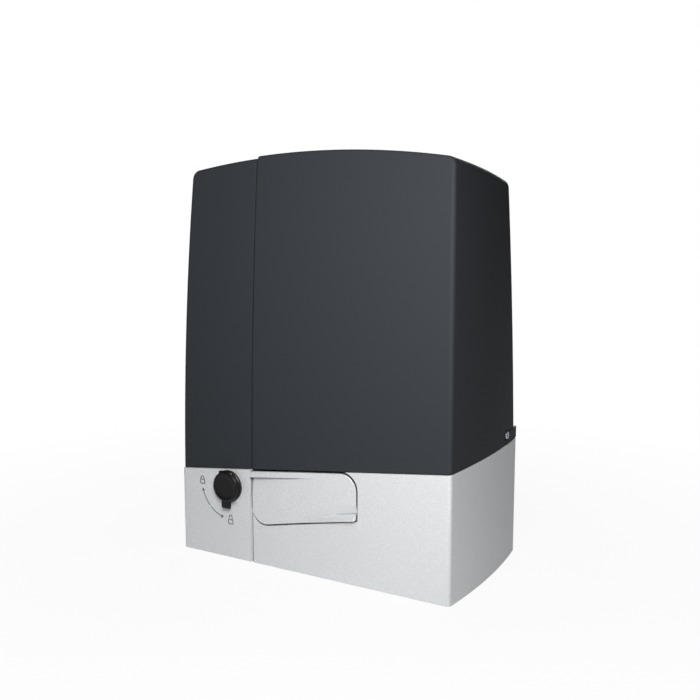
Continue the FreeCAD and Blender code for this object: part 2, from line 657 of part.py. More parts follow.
def cover():
    """Moulded cover: three slices of the outer form, the right one proud of the left by the step
    and a groove between them, hollowed out, cut on the slant and notched over the pinion."""
    wide = ("-half_depth - 20", "0", "half_depth + 30", "cover_high")
    slices = []
    for name, drop, left, right, front in (
            ("right", "0", "groove_right", "front_half_width + 10", "front_edge"),
            ("left", "cover_step", "-front_half_width - 10", "groove_left", "front_edge"),
            ("groove", "cover_step + groove_deep", "groove_left", "groove_right", "0")):
        form = cover_form(f"cover_{name}_form", "0", drop, "edge_round", front)
        window = slab(f"cover_{name}_window", left, wide[0], wide[1], right, wide[2], wide[3])
        slices.append(boolean("Common", f"cover_{name}_slice", form, window))

    ledge = new_body("cover_ledge")
    pad(ledge, plan(new_sketch(ledge, "XY", ("0", "0", "cover_low"))), "base_top + 10 - cover_low")
    away = new_sketch(ledge, "XY", ("0", "0", "base_top + 11"))
    outline(away, [
        ("-front_half_width - 5", "-half_depth - 5"), ("front_half_width + 5", "-half_depth - 5"),
        ("front_half_width + 5", "boss_front"), ("rear_half_width - 14", "boss_front"),
        ("rear_half_width - 14", "half_depth + 5"), ("-rear_half_width + 14", "half_depth + 5"),
        ("-rear_half_width + 14", "boss_front"), ("-front_half_width - 5", "boss_front")])
    cut(ledge, away, "base_top + 15 - cover_low")
    ledges = boolean("Common", "cover_ledges", ledge, seam_wedge("ledge_wedge", "boss_rise"))
    skin = fused("cover_skin", *slices, ledges)

    cutters = [
        cover_form("cover_hollow", "cover_wall", "cover_wall + 2", "edge_round - cover_wall"),
        seam_wedge("under_cover", "seam_gap"),
        slab("cover_notch", "-notch_half", "50", "0", "notch_half", "half_depth + 30", "notch_top")]
    for mark, turn in (("", TO_RIGHT), ("-", TO_LEFT)):
        level = seam(f"{mark}front_half_width", "screw_rise")
        name = "right" if turn is TO_RIGHT else "left"
        cutters.append(rod(f"screw_way_{name}", f"{mark}100", "boss_front + 1", level, "2.5", "50", turn))
        cutters.append(rod(f"screw_seat_{name}", f"{mark}127.4", "boss_front + 1", level, "4.6", "20", turn))
    return boolean("Cut", "cover", skin, fused("cover_cutters", *cutters))


def cover_screws():
    """One screw in each rear ledge, level, its tip in the base's open lug."""
    pattern = screw("cover_screw", "3.2", "2.4", "2.3", "18", "1.2")
    places = [(f"{mark}127.5", "boss_front + 1", seam(f"{mark}front_half_width", "screw_rise"), turn)
              for mark, turn in (("", TO_RIGHT), ("-", TO_LEFT))]
    return group("cover_screws", pattern, places)


# ---------------------------------------------------------------- manual release

def lip(body, at, foot, top, end, end_foot, end_top):
    """Tapered ridge on the lever's face between two stations along X."""
    sections = []
    for x, low, high, proud in ((at, foot, top, "lip_proud"), (end, end_foot, end_top, "0.25")):
        section = new_sketch(body, "YZ", ("0", "0", x))
        outline(section, [
            ("lever_front + 0.5", low), ("lever_front + 0.5", high),
            (f"lever_front - {proud}", f"{high} - {proud} * 0.15"),
            (f"lever_front - {proud}", f"{low} + {proud} * 0.3")])
        sections.append(section)
    made = body.newObject("PartDesign::AdditiveLoft", body.Name + "_lip")
    made.Profile = sections[0]
    made.Sections = [sections[1]]
    made.Ruled = True
    doc.recompute()


def release_lever():
    """Flat lever that fills the opening under the joint line, with a lip that rises to its upper
    left corner, another that rises to its lower right corner, and a long knuckle behind."""
    body = new_body("release_lever")
    face = new_sketch(body, "XZ", ("0", "0", "-lever_front"))
    lever_outline(face, "0", LEVER_CLEAR)
    pad(body, face, "lever_thick", Reversed=True)
    knuckle = new_sketch(body, "XY", ("0", "0", "44"))
    circle(knuckle, "hinge_x", "hinge_y", "knuckle")
    pad(body, knuckle, "35")
    web = new_sketch(body, "XY", ("0", "0", "44"))
    rectangle(web, "hinge_x - knuckle", "lever_front + lever_thick - 0.5", "hinge_x + knuckle", "hinge_y")
    pad(body, web, "35")
    bore = new_sketch(body, "XY", ("0", "0", "80"))
    circle(bore, "hinge_x", "hinge_y", "hinge_pin")
    cut(body, bore, "40")
    for level in ("52", "68"):
        rib = new_sketch(body, "XY", ("0", "0", level))
        outline(rib, [
            ("hinge_x + 3", "lever_front + lever_thick - 0.5"), ("36", "lever_front + lever_thick - 0.5"),
            ("36", "lever_front + lever_thick + 1.5"), ("hinge_x + 3", "hinge_y + 1")])
        pad(body, rib, "2")
    upper = seam("lever_left", f"-{LEVER_CLEAR}")
    lip(body, "lever_left", f"{upper} - 4.8", upper, "7", seam("7", f"-{LEVER_CLEAR} - 4.8"), seam("7", f"-{LEVER_CLEAR}"))
    far = "lever_low - lever_slope * (lever_right + 7)"
    lip(body, "lever_right", "lever_low", "lever_low + 4.4", "-7", far, f"{far} + 6")
    return body


def release_cam():
    """Spiral cam on the foot of the hinge pin."""
    body = new_body("release_cam")
    form = new_sketch(body, "XY", ("0", "0", "rod_z - 4"))
    outline(form, [
        ("0", "cam_low", "7.5"), ("-cam_high", "0"), ("-cam_high + 1.5", "-1.1"), ("-3.6", "-1.4", "3.95"), ("3.6", "1.4")])
    pad(body, form, "8")
    bore = new_sketch(body, "XY", ("0", "0", "rod_z + 5"))
    circle(bore, "0", "0", "hinge_pin")
    cut(body, bore, "10")
    return place(body, "hinge_x", "hinge_y")


def selector_fork():
    """Fork that sits in the clutch ring's groove, clamped on the release rod."""
    body = new_body("selector_fork")
    horns = new_sketch(body, "XZ", ("0", "shaft_z", "-19.7"))
    outline(horns, [
        ("-28.8", "-5", "29.2"), ("28.8", "-5"), ("20.2", "-3.5", "-20.5"), ("-20.2", "-3.5")])
    pad(body, horns, "3.4")
    stem = new_sketch(body, "XZ", ("0", "shaft_z", "-19.7"))
    outline(stem, [("-28", "-42"), ("-16", "-48"), ("-6", "-26"), ("-18", "-20")])
    pad(body, stem, "3.4")
    hub = new_sketch(body, "XZ", ("0", "0", "-24"))
    circle(hub, "hinge_x", "rod_z", "rod_radius + 3.4")
    pad(body, hub, "9")
    bore = new_sketch(body, "XZ", ("0", "0", "-10"))
    circle(bore, "hinge_x", "rod_z", "rod_radius")
    cut(body, bore, "20")
    return body


def clutch_ring():
    """Sliding ring on the output shaft with a groove for the fork and six dogs to the wheel."""
    body = new_body("clutch_ring")
    form = new_sketch(body, "XZ")
    bore = "shaft_clutch + running_fit"
    outline(form, [
        (bore, "0"), ("25", "0"), ("25", "2.5"), ("20", "2.5"), ("20", "6.5"), ("25", "6.5"), ("25", "9"), (bore, "9")])
    revolve(body, form, "V_Axis")
    dog = new_sketch(body, "XY")
    rectangle(dog, "18", "-2.5", "24", "2.5")
    first = pad(body, dog, "2.5", Reversed=True)
    repeat(body, first, "PolarPattern", Axis=(origin_item(body, "Z_Axis"), [""]), Angle=360, Occurrences="6")
    return place(body, "0", "13.5", "shaft_z", TO_BACK)


def lock_housing():
    """Round bezel on the front with a barrel through the wall and two ears for the cap's pin."""
    body = turned("lock_housing", [
        ("plug_radius + running_fit", "0"), ("bezel_radius - 0.6", "0"), ("bezel_radius", "0.6"),
        ("bezel_radius", "bezel_proud"), ("barrel_radius", "bezel_proud"), ("barrel_radius", "27"),
        ("plug_radius + running_fit", "27")])
    for left in ("-6.3", "4"):
        ear = new_sketch(body, "XY")
        rectangle(ear, left, "-cap_pivot_z - 1.2", f"{left} + 2.3", "-cap_pivot_z + 1.3")
        pad(body, ear, "3.4", Reversed=True)
    pin_way = new_sketch(body, "YZ")
    circle(pin_way, "-cap_pivot_z", "-0.6 - cap_thick / 2", "0.82")
    cut_through(body, pin_way)
    return place(body, "lock_x", "-half_depth - bezel_proud", "lock_z", TO_BACK)


def lock_cap():
    """Dust cap: a disc with a finger tab below and a knuckle between the bezel's ears."""
    body = new_body("lock_cap")
    disc = new_sketch(body, "XZ")
    circle(disc, "0", "0", "cap_radius")
    pad(body, disc, "cap_thick")
    tab = new_sketch(body, "XZ")
    rectangle(tab, "-4.5", "-cap_radius - 5.5", "4.5", "-cap_radius + 2")
    pad(body, tab, "cap_thick - 0.4")
    for left in ("-8", "3.6"):
        clear = new_sketch(body, "XZ")
        rectangle(clear, left, "cap_pivot_z - 3", f"{left} + 4.4", "cap_radius + 1")
        cut(body, clear, "cap_thick", Reversed=True)
    pin_way = new_sketch(body, "YZ", ("0", "0", "0"))
    circle(pin_way, "-cap_thick / 2", "cap_pivot_z", "0.85")
    cut_through(body, pin_way)
    return place(body, "lock_x", "-half_depth - bezel_proud - 0.6", "lock_z")


def lock_cylinder():
    """Key plug with its keyway and a tail for the cam."""
    body = turned("lock_cylinder", [
        ("0", "0.2"), ("plug_radius - 0.4", "0.2"), ("plug_radius", "0.6"), ("plug_radius", "27.3"),
        ("3", "27.3"), ("3", "34"), ("0", "34")])
    way = new_sketch(body, "XY")
    rectangle(way, "-4", "-0.8", "4", "0.8")
    cut(body, way, "14", Reversed=True)
    return place(body, "lock_x", "-half_depth - bezel_proud", "lock_z", TO_BACK)


def lock_cam():
    """Cam arm on the plug's tail."""
    body = new_body("lock_cam")
    arm = new_sketch(body, "XZ")
    outline(arm, [("0", "-5"), ("14", "-3"), ("14", "3"), ("0", "5", "5.001")])
    pad(body, arm, "3", Reversed=True)
    bore = new_sketch(body, "XZ")
    circle(bore, "0", "0", "3")
    cut(body, bore, "4")
    return place(body, "lock_x", "-half_depth - bezel_proud + 28", "lock_z")


# ---------------------------------------------------------------- output and worm drive

def output_shaft():
    """Stepped shaft along Y, drilled at its back end for the pinion's screw."""
    end = "pinion_front + pinion_wide"
    return turned("output_shaft", [
        ("0", "chamber_front - 10"), ("shaft_front", "chamber_front - 10"), ("shaft_front", "chamber_front"),
        ("shaft_clutch", "chamber_front"), ("shaft_clutch", "wheel_y - wheel_wide / 2"),
        ("shaft_wheel", "wheel_y - wheel_wide / 2"), ("shaft_wheel", "wheel_y + wheel_wide / 2"),
        ("shaft_clutch", "wheel_y + wheel_wide / 2"), ("shaft_clutch", "case_back"),
        ("shaft_rear", "case_back"), ("shaft_rear", end), ("4.05", end), ("4.05", f"{end} - 18"),
        ("0", f"{end} - 18")], "0", "0", "shaft_z", TO_BACK)


def worm_wheel():
    """Bronze wheel: slanted tooth gaps, a thinned web and six slots for the clutch's dogs."""
    body = new_body("worm_wheel")
    disc = new_sketch(body, "XZ", ("0", "0", "-wheel_wide / 2"))
    circle(disc, "0", "0", "wheel_outer")
    circle(disc, "0", "0", "shaft_wheel")
    pad(body, disc, "wheel_wide")
    web = new_sketch(body, "YZ")
    outline(web, [
        ("-wheel_wide / 2 - 1", "20"), ("-wheel_wide / 2 + 4", "20"), ("-wheel_wide / 2 + 4", "33"),
        ("-wheel_wide / 2 - 1", "33")])
    revolve(body, web, "H_Axis", removes=True)
    catch = new_sketch(body, "XZ", ("0", "0", "-wheel_wide / 2"))
    rectangle(catch, "17.5", "-3", "24.5", "3")
    first = cut(body, catch, "3", Reversed=True)
    repeat(body, first, "PolarPattern", Axis=(origin_item(body, "Y_Axis"), [""]), Angle=360, Occurrences="6")
    gap = new_sketch(body, "XZ")
    outline(gap, [("wheel_root", "-1.44"), ("45", "-3.85"), ("45", "3.85"), ("wheel_root", "1.44")])
    lead = math.atan(size("wheel_module") / (2 * (size("worm_x") - size("wheel_module * wheel_teeth / 2"))))
    tooth = cut(body, gap, "wheel_wide * 1.5", SideType="Symmetric", UseCustomVector=True,
                Direction=Vector(0, math.cos(lead), -math.sin(lead)))
    repeat(body, tooth, "PolarPattern", Axis=(origin_item(body, "Y_Axis"), [""]), Angle=360,
           Occurrences="wheel_teeth")
    return place(body, "0", "wheel_y", "shaft_z")


def worm_shaft():
    """Rotor shaft with the single-start worm cut on it."""
    body = new_body("worm_shaft")
    core = new_sketch(body, "XZ")
    outline(core, [
        ("0", "sump - 9.5"), ("worm_foot", "sump - 9.5"), ("worm_foot", "sump + 0.5"), ("worm_root", "sump + 4"),
        ("worm_root", "case_top - 14"), ("worm_shaft", "case_top - 10"), ("worm_shaft", "motor_top - 2"),
        ("0", "motor_top - 2")])
    revolve(body, core, "V_Axis")
    thread = new_sketch(body, "XZ", ("0", "worm_low", "0"))
    outline(thread, [
        ("-worm_root + 0.5", "-2.9"), ("-worm_root + 0.5", "2.9"), ("-worm_outer", "0.97"), ("-worm_outer", "-0.97")])
    helix = body.newObject("PartDesign::AdditiveHelix", "worm_thread")
    helix.Profile = thread
    helix.ReferenceAxis = (thread, ["V_Axis"])
    helix.Mode = "pitch-turns-angle"
    bind(helix, "Pitch", f"wheel_module * {math.pi}")
    bind(helix, "Turns", "worm_turns")
    doc.recompute()
    return place(body, "worm_x", "wheel_y")


def pinion():
    """Straight-toothed pinion for the gate's rack, with a short hub towards the seal."""
    body = new_body("pinion")
    tip = "pinion_module * (pinion_teeth + 2) / 2"
    root = "(pinion_module * (pinion_teeth - 2.5) / 2)"
    blank = new_sketch(body, "XY")
    circle(blank, "0", "0", tip)
    pad(body, blank, "pinion_wide")
    gap = new_sketch(body, "XY")
    outline(gap, [
        (root, "-1.7", "-14"), (f"{tip} + 0.6", "-5.6"), (f"{tip} + 0.6", "5.6", "-14"), (root, "1.7")])
    tooth = cut(body, gap, "pinion_wide + 1", Reversed=True)
    repeat(body, tooth, "PolarPattern", Axis=(origin_item(body, "Z_Axis"), [""]), Angle=360,
           Occurrences="pinion_teeth")
    hub = new_sketch(body, "XY")
    circle(hub, "0", "0", "shaft_rear + 7")
    pad(body, hub, "2.6", Reversed=True)
    dish = new_sketch(body, "XZ")
    outline(dish, [
        ("shaft_rear + 7", "pinion_wide - 3"), (f"{root} - 4", "pinion_wide - 3"),
        (f"{root} - 4", "pinion_wide + 1"), ("shaft_rear + 7", "pinion_wide + 1")])
    revolve(body, dish, "V_Axis", removes=True)
    bore = new_sketch(body, "XY", ("0", "0", "-5"))
    circle(bore, "0", "0", "shaft_rear")
    cut(body, bore, "pinion_wide + 10", Reversed=True)
    return place(body, "0", "pinion_front", "shaft_z", TO_BACK)


def bearing_flange():
    """Round flange over the rear bearing, bored for the seal, with four screw holes."""
    body = turned("bearing_flange", [
        ("17.5", "0"), ("flange_radius", "0"), ("flange_radius", "flange_thick - 1"),
        ("flange_radius - 1", "flange_thick"), ("17.5", "flange_thick")])
    holes = new_sketch(body, "XY", ("0", "0", "flange_thick"))
    for x in ("-26", "26"):
        for y in ("-26", "26"):
            circle(holes, x, y, "2.7")
    cut(body, holes, "flange_thick + 1")
    return place(body, "0", "half_depth", "shaft_z", TO_BACK)


def gearcase_lid():
    """Lid of the gear case with the motor's plate, the upper worm bearing and sunk screws."""
    body = new_body("gearcase_lid")
    plate = new_sketch(body, "XY", ("0", "0", "case_top"))
    rectangle(plate, "case_left", "case_front", "case_right", "case_back")
    pad(body, plate, "lid_top - case_top")
    foot = new_sketch(body, "XY", ("0", "0", "case_top"))
    rectangle(foot, "worm_x - motor_half", "wheel_y - motor_half", "worm_x + motor_half", "wheel_y + motor_half")
    pad(body, foot, "lid_top - case_top")
    bore = new_sketch(body, "XY", ("0", "0", "lid_top"))
    circle(bore, "worm_x", "wheel_y", "worm_bearing_high")
    for x in ("-tie_at", "tie_at"):
        for y in ("-tie_at", "tie_at"):
            circle(bore, f"worm_x + {x}", f"wheel_y + {y}", "2.6")
    for x, y in LID_SCREWS:
        circle(bore, x, y, "2.2")
    cut(body, bore, "lid_top - case_top + 1")
    sunk = new_sketch(body, "XY", ("0", "0", "lid_top"))
    for x, y in LID_SCREWS:
        circle(sunk, x, y, "4")
    cut(body, sunk, "5")
    return body


# ---------------------------------------------------------------- motor

def motor_plate(label, low, high, bore):
    """Square end plate of the motor with its four tie-bolt holes."""
    body = new_body(label)
    face = new_sketch(body, "XY", ("0", "0", low))
    edge, nick = "motor_half", "(motor_half - 6)"
    outline(face, [
        (f"-{nick}", f"-{edge}"), (nick, f"-{edge}"), (edge, f"-{nick}"), (edge, nick), (nick, edge),
        (f"-{nick}", edge), (f"-{edge}", nick), (f"-{edge}", f"-{nick}")])
    pad(body, face, f"{high} - ({low})")
    holes = new_sketch(body, "XY", ("0", "0", f"{high} + 1"))
    circle(holes, "0", "0", bore)
    for x in ("-tie_at", "tie_at"):
        for y in ("-tie_at", "tie_at"):
            circle(holes, x, y, "2.6")
    cut(body, holes, f"{high} - ({low}) + 2")
    return body


def motor_housing():
    """Ribbed can on a square foot."""
    body = motor_plate("motor_housing", "lid_top", "lid_top + 5", "12")
    can = new_sketch(body, "XY", ("0", "0", "lid_top"))
    circle(can, "0", "0", "motor_radius - 2")
    circle(can, "0", "0", "motor_radius - 2 - motor_wall")
    pad(body, can, "motor_top - 8 - lid_top")
    fin = new_sketch(body, "XY", ("0", "0", "lid_top + 4"))
    rectangle(fin, "motor_radius - 3", "-1", "motor_radius", "1")
    first = pad(body, fin, "motor_top - 14 - lid_top")
    repeat(body, first, "PolarPattern", Axis=(origin_item(body, "Z_Axis"), [""]), Angle=360, Occurrences="20")
    return place(body, "worm_x", "wheel_y")


def motor_end_cap():
    """Square end cap with the domed seat of the top bearing."""
    body = motor_plate("motor_end_cap", "motor_top - 8", "motor_top", "worm_shaft + 0.6")
    dome = new_sketch(body, "XZ")
    outline(dome, [
        ("worm_shaft + 0.6", "motor_top - 1"), ("24", "motor_top - 1"), ("24", "motor_top + 4"),
        ("20", "motor_top + 8"), ("0", "motor_top + 8"), ("0", "motor_top + 4"), ("worm_shaft + 0.6", "motor_top + 4")])
    revolve(body, dome, "V_Axis")
    seat = new_sketch(body, "XY", ("0", "0", "motor_top - 8"))
    circle(seat, "0", "0", "17.5")
    cut(body, seat, "7", Reversed=True)
    return place(body, "worm_x", "wheel_y")


# ---------------------------------------------------------------- electrics

def board_carrier():
    """Moulded tray for the control board, standing on a foot on the gear case lid."""
    body = new_body("board_carrier")
    panel = new_sketch(body, "XZ", ("0", "0", "-board_back"))
    rectangle(panel, "board_left", "board_low", "board_right", "board_high")
    pad(body, panel, "9")
    tray = new_sketch(body, "XZ", ("0", "0", "-board_back + 9"))
    rectangle(tray, "board_left + 2", "board_low + 2", "board_right - 2", "board_high - 2")
    cut(body, tray, "6")
    bosses = new_sketch(body, "XZ", ("0", "0", "-board_back + 2"))
    for x, z in BOARD_SCREWS:
        circle(bosses, x, z, "3.5")
    pad(body, bosses, "4")
    threads = new_sketch(body, "XZ", ("0", "0", "-board_back + 7"))
    for x, z in BOARD_SCREWS:
        circle(threads, x, z, "1.25")
    cut(body, threads, "4")
    foot = new_sketch(body, "XY", ("0", "0", "lid_top"))
    rectangle(foot, "case_left", "board_back - 2", "board_right", "case_front + 12")
    pad(body, foot, "4")
    for x in ("case_left", "board_right - 3"):
        gusset = new_sketch(body, "YZ", ("0", "0", x))
        outline(gusset, [("board_back - 1", "lid_top + 3"), ("case_front + 10", "lid_top + 3"), ("board_back - 1", "lid_top + 50")])
        pad(body, gusset, "3")
    return body


BOARD_SCREWS = [(x, z) for x in ("board_left + 8", "board_right - 8") for z in ("board_low + 8", "board_high - 8")]


def transformer_core():
    """Laminated core, open round the coil."""
    outer = slab("core_block", "-52", "-8", "lid_top + 3", "-2", "22", "lid_top + 45")
    window = slab("core_window", "-44", "-20", "lid_top + 11", "-10", "30", "lid_top + 37")
    post = slab("core_post", "-33", "-8", "lid_top + 4", "-21", "22", "lid_top + 44")
    return fused("transformer_core", boolean("Cut", "core_frame", outer, window), post)


def transformer_coil():
    """Bobbin and winding round the middle limb."""
    block = slab("coil_block", "-43.7", "-18", "lid_top + 11.3", "-10.3", "32", "lid_top + 36.7")
    post = slab("coil_window", "-33", "-8", "lid_top + 5", "-21", "22", "lid_top + 43")
    return boolean("Cut", "transformer_coil", block, post)


def transformer_bracket():
    """Sheet strap under the core with a screwed tab at each end."""
    strap = slab("strap", "-60", "-6", "lid_top", "6", "20", "lid_top + 3")
    ways = [rod(f"strap_hole_{n}", x, "7", "lid_top - 1", "2.2", "5") for n, x in enumerate(("-56.5", "2.5"))]
    return boolean("Cut", "transformer_bracket", strap, fused("strap_holes", *ways))


def capacitor_clip():
    """Band round the capacitor with a tab to the gear case."""
    band = new_body("capacitor_clip")
    hoop = new_sketch(band, "XY", ("0", "0", "50"))
    circle(hoop, "capacitor_x", "capacitor_y", "capacitor_radius + 1.5")
    pad(band, hoop, "12")
    tab = new_sketch(band, "XY", ("0", "0", "50"))
    rectangle(tab, "capacitor_x", "capacitor_y - 1", "case_left", "capacitor_y + 1")
    pad(band, tab, "12")
    root = new_sketch(band, "XY", ("0", "0", "50"))
    rectangle(root, "case_left - 2", "capacitor_y - 10", "case_left", "capacitor_y + 10")
    pad(band, root, "12")
    bore = new_sketch(band, "XY", ("0", "0", "63"))
    circle(bore, "capacitor_x", "capacitor_y", "capacitor_radius")
    cut(band, bore, "14")
    return band


def limit_switch_box():
    """Switch housing that fills the cover's notch above the pinion."""
    body = new_body("limit_switch_box")
    form = new_sketch(body, "XZ", ("0", "0", "-limit_back"))
    edge, nick = "limit_half", "(limit_half - 6)"
    outline(form, [
        (f"-{edge}", "limit_low"), (edge, "limit_low"), (edge, "limit_top - 6", "6.001"), (nick, "limit_top"),
        (f"-{nick}", "limit_top", "6.001"), (f"-{edge}", "limit_top - 6")])
    pad(body, form, "limit_back - limit_front")
    way = new_sketch(body, "XZ", ("0", "0", "-limit_back"))
    circle(way, "0", "limit_pivot", "2")
    cut(body, way, "12", Reversed=True)
    return body


def limit_lever():
    """Spring finger on a round hub, touched by the stops on the gate's rack."""
    body = new_body("limit_lever")
    hub = new_sketch(body, "XZ", ("0", "0", "-limit_back - 5.2"))
    circle(hub, "0", "limit_pivot", "6.5")
    circle(hub, "0", "limit_pivot", "2 + running_fit")
    pad(body, hub, "4.9")
    finger = new_sketch(body, "XY", ("0", "0", "limit_pivot + 4"))
    circle(finger, "0", "limit_back + 2.7", "2.2")
    pad(body, finger, "52")
    return body


def write_parts():
    """Every sub-part of the operator, checked and written to its own file."""
    pieces = [base_housing(), lever_pocket(), gear_case(), cover(), cover_screws(), release_lever(), release_cam(), selector_fork(), clutch_ring(),
              lock_housing(), lock_cap(), lock_cylinder(), lock_cam(), output_shaft(), worm_wheel(), worm_shaft(),
              pinion(), bearing_flange(), gearcase_lid(), motor_housing(), motor_end_cap(), board_carrier(),
              transformer_core(), transformer_coil(), transformer_bracket(), capacitor_clip(), limit_switch_box(),
              limit_lever()]
    fit = "running_fit"
    pinion_end = "pinion_front + pinion_wide"
    hinge = rod("hinge_pin", "hinge_x", "hinge_y", "rod_z - 5", "hinge_pin", seam("hinge_x", "-rod_z + 5 - 2"))
    pieces += [
        hinge,
        rod("release_rod", "hinge_x", "rod_front", "rod_z", "rod_radius", "rod_back - rod_front", TO_BACK),
        rod("lock_cap_pin", "lock_x - 6.3", "-half_depth - bezel_proud - 0.6 - cap_thick / 2",
            "lock_z + cap_pivot_z", "0.8", "12.6", TO_RIGHT),
        ring("front_bearing", f"shaft_front + {fit}", "front_bearing", "9.6", "0", "chamber_front - 9.8", "shaft_z", TO_BACK),
        ring("rear_bearing", f"shaft_rear + {fit}", "rear_bearing", "14", "0", "case_back + 1.8", "shaft_z", TO_BACK),
        ring("output_seal", f"shaft_rear + {fit}", "17.5", "flange_thick", "0", "half_depth", "shaft_z", TO_BACK),
        ring("worm_bearing_low", f"worm_foot + {fit}", "worm_bearing_low", "9.2", "worm_x", "wheel_y", "sump - 9.6"),
        ring("worm_bearing_high", f"worm_shaft + {fit}", "worm_bearing_high", "12", "worm_x", "wheel_y", "case_top"),
        ring("motor_bearing", f"worm_shaft + {fit}", "17.5", "6.8", "worm_x", "wheel_y", "motor_top - 8"),
        ring("stator_core", "stator_inner", "motor_radius - 2 - motor_wall", "rotor_high - rotor_low", "worm_x", "wheel_y", "rotor_low"),
        ring("rotor_core", "worm_shaft", "rotor_radius", "rotor_high - rotor_low", "worm_x", "wheel_y", "rotor_low"),
        ring("pinion_washer", "4.1", "15", "2.5", "0", pinion_end, "shaft_z", TO_BACK),
    ]
    winding = ring("winding_ring", "stator_inner + 2", "36", "6.5")
    pieces.append(group("stator_windings", winding, [
        ("worm_x", "wheel_y", "rotor_low - 6.6"), ("worm_x", "wheel_y", "rotor_high + 0.1")]))
    pinion_screw = screw("pinion_screw_form", "6.5", "5", "4", "18")
    pieces.append(group("pinion_screw", pinion_screw, [("0", f"{pinion_end} + 2.5", "shaft_z", TO_BACK)]))
    pieces.append(group("flange_screws", screw("flange_screw", "4.4", "4", "2.5", "18"), [
        (x, "half_depth + flange_thick", f"shaft_z + {z}", TO_BACK) for x in ("-26", "26") for z in ("-26", "26")]))
    pieces.append(group("lid_screws", screw("lid_screw", "3.6", "3", "2", "17"), [
        (x, y, "lid_top - 5") for x, y in LID_SCREWS]))
    pieces.append(group("motor_bolts", screw("motor_bolt", "4.4", "4", "2.5", "motor_top - lid_top + 8"), [
        (f"worm_x + {x}", f"wheel_y + {y}", "motor_top") for x in ("-tie_at", "tie_at") for y in ("-tie_at", "tie_at")]))
    pieces.append(group("pocket_screws", screw("pocket_screw", "3.5", "2.6", "2", "8"), [
        (x, "-half_depth + wall + 9", z, TO_BACK) for x, z in POCKET_SCREWS]))
    pieces.append(group("case_bolts", screw("case_bolt", "5", "4", "3", "13"), [
        (x, y, "floor_plate + 9") for x, y in CASE_BOLTS]))
    pieces.append(group("levelling_screws", ring("levelling_screw", "0", "jack_radius", "jack_top - 2"), [
        (x, y, "1") for x in ("-jack_x", "jack_x") for y in ("-jack_y", "jack_y")]))
    pieces.append(group("board_screws", screw("board_screw", "2.6", "1.8", "1.2", "4"), [
        (x, "board_back - 7.6", z, TO_FRONT) for x, z in BOARD_SCREWS]))
    pieces.append(group("transformer_screws", screw("transformer_screw", "3.4", "2.4", "2", "3"), [
        (x, "7", "lid_top + 3") for x in ("-56.5", "2.5")]))
    pieces.append(turned("capacitor", [
        ("0", "floor_plate"), ("capacitor_radius", "floor_plate"), ("capacitor_radius", "capacitor_top - 1"),
        ("capacitor_radius - 1", "capacitor_top"), ("6", "capacitor_top"), ("6", "capacitor_top + 5"),
        ("0", "capacitor_top + 5")], "capacitor_x", "capacitor_y"))
    pieces.append(turned("cable_grommet", [
        ("entry_bore", "-0"), ("entry_hole", "0"), ("entry_hole", "floor_plate"), ("entry_hole + 3", "floor_plate"),
        ("entry_hole + 3", "floor_plate + 2"), ("entry_bore + 3", "floor_plate + 5"), ("entry_bore", "floor_plate + 5")],
        "entry_x", "entry_y"))
    sheet_form = slab("board_sheet", "board_left + 3", "board_back - 7.6", "board_low + 3",
                      "board_right - 3", "board_back - 6", "board_high - 3")
    ways = [rod(f"board_way_{n}", x, "board_back - 9", z, "1.3", "5", TO_BACK) for n, (x, z) in enumerate(BOARD_SCREWS)]
    pieces.append(boolean("Cut", "control_board", sheet_form, fused("board_ways", *ways)))
    face = "board_back - 7.6"
    blocks = []
    for number, (left, wide) in enumerate(((-108, 26), (-80, 26), (-52, 40))):
        blocks.append(slab(f"terminal_{number}", str(left), f"{face} - 11", "board_low + 13", str(left + wide), face, "board_low + 25"))
    pieces.append(fused("terminal_blocks", *blocks))
    relays = [slab(f"relay_{number}", str(left), f"{face} - 12", "board_low + 52", str(left + 18), face, "board_low + 68")
              for number, left in enumerate((-60, -38))]
    pieces.append(fused("board_relays", *relays))
    pieces.append(slab("fuse_holder", "-106", f"{face} - 8", "board_low + 54", "-80", face, "board_low + 62"))
    pieces.append(rod("limit_pivot_pin", "0", "limit_back - 11", "limit_pivot", "2", "16.5", TO_BACK))
    doc.recompute()

    for thing in doc.Objects:
        if "Invalid" in thing.State or "Error" in thing.State:
            raise ValueError(f"{thing.Name} failed: {thing.State}")
    os.makedirs("parts", exist_ok=True)
    for piece in pieces:
        shape = piece.Shape
        if shape.isNull() or not shape.isValid() or not shape.Solids:
            raise ValueError(f"{piece.Label} has no sound shape")
        piece.Label = piece.Name
        shape.exportStep(f"parts/{piece.Label}.step")
        print(f"{piece.Label:22s} {len(shape.Solids)} solids {shape.Volume / 1000:9.2f} cm3")


write_parts()
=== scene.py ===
"""Sliding gate operator: moulded cover over a cast gear case, release lever and key lock in front,
toothed pinion and limit switch behind. Metres, X right, Y from the release side to the gate, Z up."""

